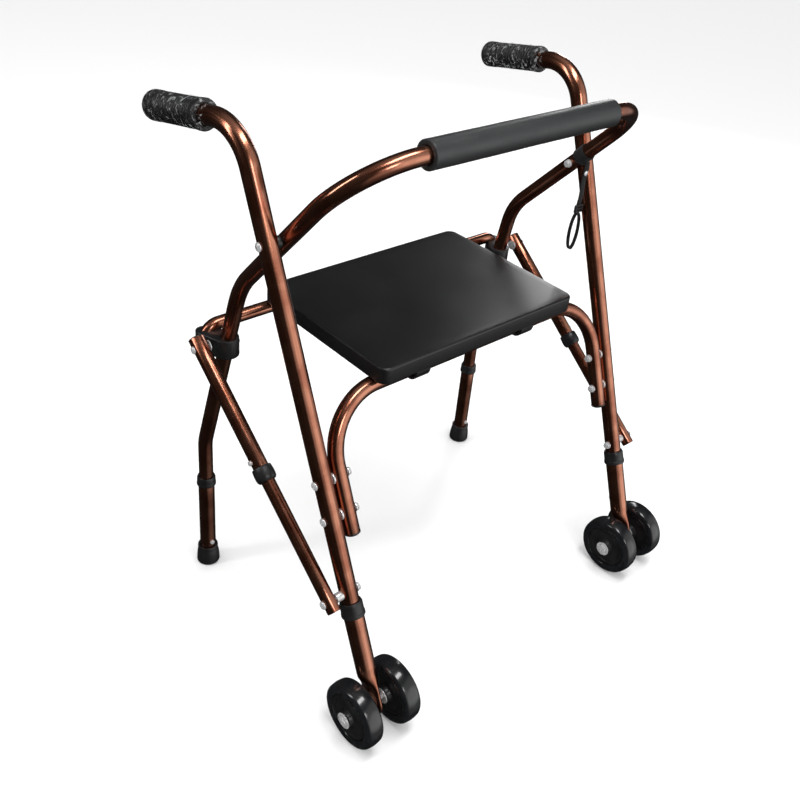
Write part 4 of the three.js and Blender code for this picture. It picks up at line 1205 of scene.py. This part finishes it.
class WALKER_OT_seat(WalkerOperator, bpy.types.Operator):
    """Makes the seat cushion and, under it, the panel and its clips"""

    bl_idname = "walker.seat"
    bl_label = "Seat"

    def build(self):
        low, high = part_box("seat_pad")
        width, depth, thick = high - low
        bm = bmesh.new()
        bmesh.ops.create_cube(bm, size=1, matrix=Matrix.Diagonal((width, depth, thick, 1)))
        uprights = [e for e in bm.edges if abs(e.verts[0].co.z - e.verts[1].co.z) > thick / 2]
        bevel(bm, uprights, 0.014, 10)
        bevel(bm, [e for e in sharp_edges(bm, 1) if e.verts[0].co.z > 0], 0.0032, 6)
        bevel(bm, [e for e in sharp_edges(bm, 1) if e.verts[0].co.z < 0], 0.0014, 3)
        self.recess(bm)
        for axis, reach in ((ACROSS, width), (BACK, depth)):
            cuts = round(reach / 0.014)
            for k in range(1, cuts):
                bmesh.ops.bisect_plane(
                    bm, geom=bm.verts[:] + bm.edges[:] + bm.faces[:], plane_no=axis,
                    plane_co=axis * reach * (k / cuts - 0.5),
                )
        self.crown(bm, width, depth, thick)
        bmesh.ops.translate(bm, vec=(low + high) / 2, verts=bm.verts)
        piece = add_piece("seat_cushion", bm, "seat", "seat", "seat_pad", sharp=60)
        self.base()

    def recess(self, bm):
        """Lets the panel into the underside."""
        under = max((f for f in bm.faces if f.normal.z < -0.9), key=lambda f: f.calc_area())
        bmesh.ops.inset_individual(bm, faces=[under], thickness=0.0122, use_even_offset=True)
        bmesh.ops.translate(bm, vec=(0, 0, 0.003), verts=under.verts)

    def crown(self, bm, width, depth, thick):
        """Lets the top fall off gently towards its edges and gives it a slight sag."""
        for vert in bm.verts:
            if vert.co.z < thick * 0.2:
                continue
            share = vert.co.z / (thick / 2)
            x, y = abs(vert.co.x) / (width / 2), abs(vert.co.y) / (depth / 2)
            fall = 0.0007 * (x**10 + y**10)
            sag = 0.0009 * (1 - x * x) * (1 - y * y)
            ripple = 0.00025 * noise.noise(vert.co * 14)
            vert.co.z -= share * (fall + sag + ripple * (1 - x**4) * (1 - y**4))

    def base(self):
        """The panel under the cushion with two clips that turn on the cross tube."""
        low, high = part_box("seat_base")
        panel, clip, clip_width, clip_half = 0.0027, 0.105, 0.026, 0.013
        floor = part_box("seat_pad")[0].z
        at = Vector(((low.x + high.x) / 2, (low.y + high.y) / 2, floor + panel / 2))
        size_x, size_y = high.x - low.x, high.y - low.y
        pieces = [block(Matrix.Translation(at), size_x, size_y, panel, 0.0008, 2)]
        radius = self.tubes.support / 2
        bore = radius + 0.0004
        for end in (-clip, clip):
            centre = Vector((end, SEAT_HINGE.y, SEAT_HINGE.z))
            across = frame_at(centre, ACROSS)
            pieces.append(ring(across, bore, bore + 0.0045, -clip_half, clip_half, 40, 0.0008))
            rib = centre + Vector((0, 0.015 + bore, radius - 0.0012))
            pieces.append(block(Matrix.Translation(rib), clip_width, 0.03, 0.0045, 0.0008))
        add_piece("seat_panel", together(*pieces), "seat", "plastic", "seat_base")


def band(points, width_axis, width, thickness, closed=False):
    """A flat strap: a thin rectangle that is extruded from station to station."""
    stations, last = [], len(points) - 1
    for k, point in enumerate(points):
        after = points[(k + 1) % len(points)] if closed else points[min(k + 1, last)]
        before = points[k - 1] if closed else points[max(k - 1, 0)]
        stations.append(frame_at(point, after - before, width_axis))
    bm = bmesh.new()
    flat = stations[0] @ Matrix.Diagonal((width, thickness, 1, 1))
    bmesh.ops.create_grid(bm, x_segments=1, y_segments=1, size=0.5, matrix=flat)
    start = edges = bm.edges[:]
    if closed:
        bmesh.ops.delete(bm, geom=bm.faces[:], context="FACES_ONLY")
    for before, after in zip(stations, stations[1:]):
        made = bmesh.ops.extrude_edge_only(bm, edges=edges)["geom"]
        verts = only(bmesh.types.BMVert, made)
        edges = [e for e in only(bmesh.types.BMEdge, made) if all(v in verts for v in e.verts)]
        bmesh.ops.transform(bm, matrix=after @ before.inverted(), verts=verts)
    if closed:
        bmesh.ops.bridge_loops(bm, edges=start + edges)
    else:
        bmesh.ops.contextual_create(bm, geom=edges)
    close_up(bm)
    soften(bm, thickness * 0.3, 2, radians(60))
    return bm


class WALKER_OT_strap(WalkerOperator, bpy.types.Operator):
    """Makes the tie strap on the left arm: band, tail, loop, slider and stud"""

    bl_idname = "walker.strap"
    bl_label = "Tie strap"

    def build(self):
        _, elbow, bar = bow_corners("left")
        arm = (bar - elbow).normalized()
        centre = Vector((bow_track(), PIVOT.y, PIVOT.z)) + arm * STRAP_AHEAD
        inner, half, width = self.tubes.bow / 2 + 0.0004, 0.01, 0.0105
        outer = inner + STRAP_THICK
        wrap = ring(frame_at(centre, arm), inner, outer, -half, half, 56, 0.0005, 2)
        slider = middle("strap_buckle")
        top = centre + Vector((0, -arm.z, arm.y)) * outer
        top.x = slider.x
        loop_half, loop_drop = 0.0102, 0.0305
        loop_centre = Vector((top.x, top.y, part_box("strap")[0].z + loop_drop + 0.0006))
        reach = top.z - loop_centre.z - loop_drop + 0.0015
        tail = [top + Vector((0, -0.0006 * sin(k / 6 * pi), -reach * k / 24)) for k in range(25)]
        hanging = band(tail, ACROSS, width, STRAP_THICK)
        turns = [2 * pi * k / 48 for k in range(48)]
        oval = [loop_centre + Vector((loop_half * sin(t), 0, loop_drop * cos(t))) for t in turns]
        loop = band(oval, BACK, 0.0056, STRAP_THICK * 1.6, closed=True)
        bm = together(wrap, hanging, loop)
        add_piece("strap_webbing", bm, "rear_frame", "webbing", "strap")
        self.slider(Matrix.Translation(slider), width)
        spot = frame_at(tail[5] + Vector((0, -STRAP_THICK * 0.5, 0)), -BACK)
        head = [(0, -0.0004), (0.004, -0.0004), (0.004, 0.0004), (0.0028, 0.0013), (0, 0.0016)]
        add_piece("strap_stud", turned(head, spot, 32), "rear_frame", "steel")

    def slider(self, at, width):
        """Three bars across the webbing between two at its edges."""
        bars = []
        for shift in (-0.005, 0.0, 0.005):
            spot = at @ Matrix.Translation((0, -0.0018, shift))
            bars.append(block(spot, width + 0.006, 0.0022, 0.0024, 0.0006))
        for way in (-1, 1):
            spot = at @ Matrix.Translation((way * (width / 2 + 0.0018), -0.0006, 0))
            bars.append(block(spot, 0.0026, 0.0046, 0.0124, 0.0007))
        add_piece("strap_slider", together(*bars), "rear_frame", "plastic", "strap_buckle")


class WALKER_OT_stage(WalkerOperator, bpy.types.Operator):
    """Makes the pale floor, the soft lights, the surroundings and the camera"""

    bl_idname = "walker.stage"
    bl_label = "Stage"

    def build(self):
        self.floor()
        self.surroundings()
        self.lights()
        self.camera()

    def floor(self):
        """A plain pale disc that the walker stands on."""
        f = Finish("studio_floor", Roughness=0.7)
        f.surface.inputs["Base Color"].default_value = (*self.colours.floor, 1)
        bm, below = bmesh.new(), Matrix.Translation((0, 0, -0.0004))
        bmesh.ops.create_circle(bm, cap_ends=True, segments=96, radius=14, matrix=below)
        mesh = bpy.data.meshes.new("studio_floor")
        bm.to_mesh(mesh)
        bm.free()
        mesh.materials.append(f.material)
        floor = bpy.data.objects.new("studio_floor", mesh)
        bpy.context.scene.collection.objects.link(floor)
        floor.visible_glossy = False

    def surroundings(self):
        """A white room for the eye and a dark one with a bright front for the reflections."""
        world = bpy.data.worlds.new("studio")
        bpy.context.scene.world = world
        world.use_nodes = True
        n = Nodes(world.node_tree)
        world.node_tree.nodes.clear()
        path = n.add("ShaderNodeLightPath").outputs
        ray, bright = n.add("ShaderNodeTexCoord").outputs["Generated"], (0.45, -0.89, 0.0)
        toward = n.add("ShaderNodeVectorMath", {0: ray, 1: bright}, operation="DOT_PRODUCT")
        toward = toward.outputs["Value"]
        height = n.add("ShaderNodeSeparateXYZ", {"Vector": ray}).outputs["Z"]
        wide = n.span(toward, 0.46, 0.74, 0.0, 0.62)
        core = n.span(toward, 0.84, 0.93, 0.0, 0.85)
        level = n.span(height, -0.6, -0.1, 0.3, 1.0)
        front = n.math("MULTIPLY", n.math("ADD", wide, core), level)
        glow = n.math("MAXIMUM", front, n.span(height, 0.7, 1.0, 0.02, 0.3))
        white = (1, 1, 1, 1)
        room, fill, pale = (
            n.add("ShaderNodeBackground", {"Color": white, "Strength": strength}).outputs[0]
            for strength in (glow, 1.0, 1.0)
        )
        soft = n.add("ShaderNodeMixShader", {0: path["Is Glossy Ray"], 1: fill, 2: room})
        seen = {0: path["Is Camera Ray"], 1: soft.outputs[0], 2: pale}
        surface = n.add("ShaderNodeMixShader", seen).outputs[0]
        n.add("ShaderNodeOutputWorld", {"Surface": surface})
        bpy.context.scene.view_settings.view_transform = "Standard"

    def lights(self):
        """Softboxes above and round the walker."""
        aim_at = Vector((0, 0, 0.42))
        boxes = [
            ("overhead", (0.1, -0.5, 2.5), 1.5, 0.5, 26),
            ("key", (-2.0, 0.9, 1.9), 0.35, 1.6, 14),
            ("front", (-0.6, -2.5, 1.9), 0.7, 0.7, 12),
            ("back_strip", (2.1, 1.3, 1.2), 0.3, 1.6, 8),
        ]
        for name, place, width, height, power in boxes:
            data = bpy.data.lights.new(name, "AREA")
            data.shape = "RECTANGLE"
            data.size, data.size_y, data.energy = width, height, power
            lamp = bpy.data.objects.new(name, data)
            lamp.location = place
            lamp.rotation_euler = (aim_at - Vector(place)).to_track_quat("-Z", "Y").to_euler()
            lamp.visible_camera = False
            bpy.context.scene.collection.objects.link(lamp)

    def camera(self):
        """A camera ahead and to the right of the walker, looking down at it."""
        data = bpy.data.cameras.new("camera")
        data.lens = 41.52
        yaw, pitch, roll = radians(-44.585), radians(34.821), radians(6.134)
        forward = Vector((-sin(yaw) * cos(pitch), cos(yaw) * cos(pitch), -sin(pitch)))
        level = Vector((cos(yaw), sin(yaw), 0))
        upright = level.cross(forward)
        right = level * cos(roll) + upright * sin(roll)
        above = upright * cos(roll) - level * sin(roll)
        camera = bpy.data.objects.new("camera", data)
        matrix = Matrix((right, above, -forward)).transposed().to_4x4()
        matrix.translation = Vector((-0.86475, PIVOT.y - 0.82749, 1.13546))
        camera.matrix_world = matrix
        bpy.context.scene.collection.objects.link(camera)
        bpy.context.scene.camera = camera


# ------------------------------------------------------------------ add-on


BUILD_ORDER = (
    WALKER_OT_stage,
    WALKER_OT_finishes,
    WALKER_OT_wheel_legs,
    WALKER_OT_grips,
    WALKER_OT_rear_bow,
    WALKER_OT_foam_sleeve,
    WALKER_OT_seat_support,
    WALKER_OT_frame_bolts,
    WALKER_OT_front_lower_legs,
    WALKER_OT_wheels,
    WALKER_OT_axles,
    WALKER_OT_rear_lower_legs,
    WALKER_OT_rear_rail,
    WALKER_OT_braces,
    WALKER_OT_seat,
    WALKER_OT_strap,
)
GROUPS = {
    "walker_tubes": WalkerTubes,
    "walker_bends": WalkerBends,
    "walker_colours": WalkerColours,
}


class WALKER_PT_panel(bpy.types.Panel):
    """Lists the walker's pieces, sizes and colours"""

    bl_idname = "WALKER_PT_panel"
    bl_label = "Folding walker"
    bl_space_type = "VIEW_3D"
    bl_region_type = "UI"
    bl_category = "Walker"

    def draw(self, context):
        for operator in BUILD_ORDER:
            self.layout.operator(operator.bl_idname)
        for name in GROUPS:
            group, box = getattr(context.scene, name), self.layout.box()
            for key in group.__annotations__:
                box.prop(group, key)


def register():
    """Registers the classes and hangs the settings on the scene."""
    for cls in (*GROUPS.values(), *BUILD_ORDER, WALKER_PT_panel):
        bpy.utils.register_class(cls)
    for name, cls in GROUPS.items():
        setattr(bpy.types.Scene, name, PointerProperty(type=cls))


def unregister():
    """Takes the settings and the classes away again."""
    for name in GROUPS:
        delattr(bpy.types.Scene, name)
    for cls in (WALKER_PT_panel, *reversed(BUILD_ORDER), *GROUPS.values()):
        bpy.utils.unregister_class(cls)


def main():
    """Builds the walker."""
    register()
    for operator in BUILD_ORDER:
        area, name = operator.bl_idname.split(".")
        getattr(getattr(bpy.ops, area), name)()


if __name__ == "__main__":
    main()
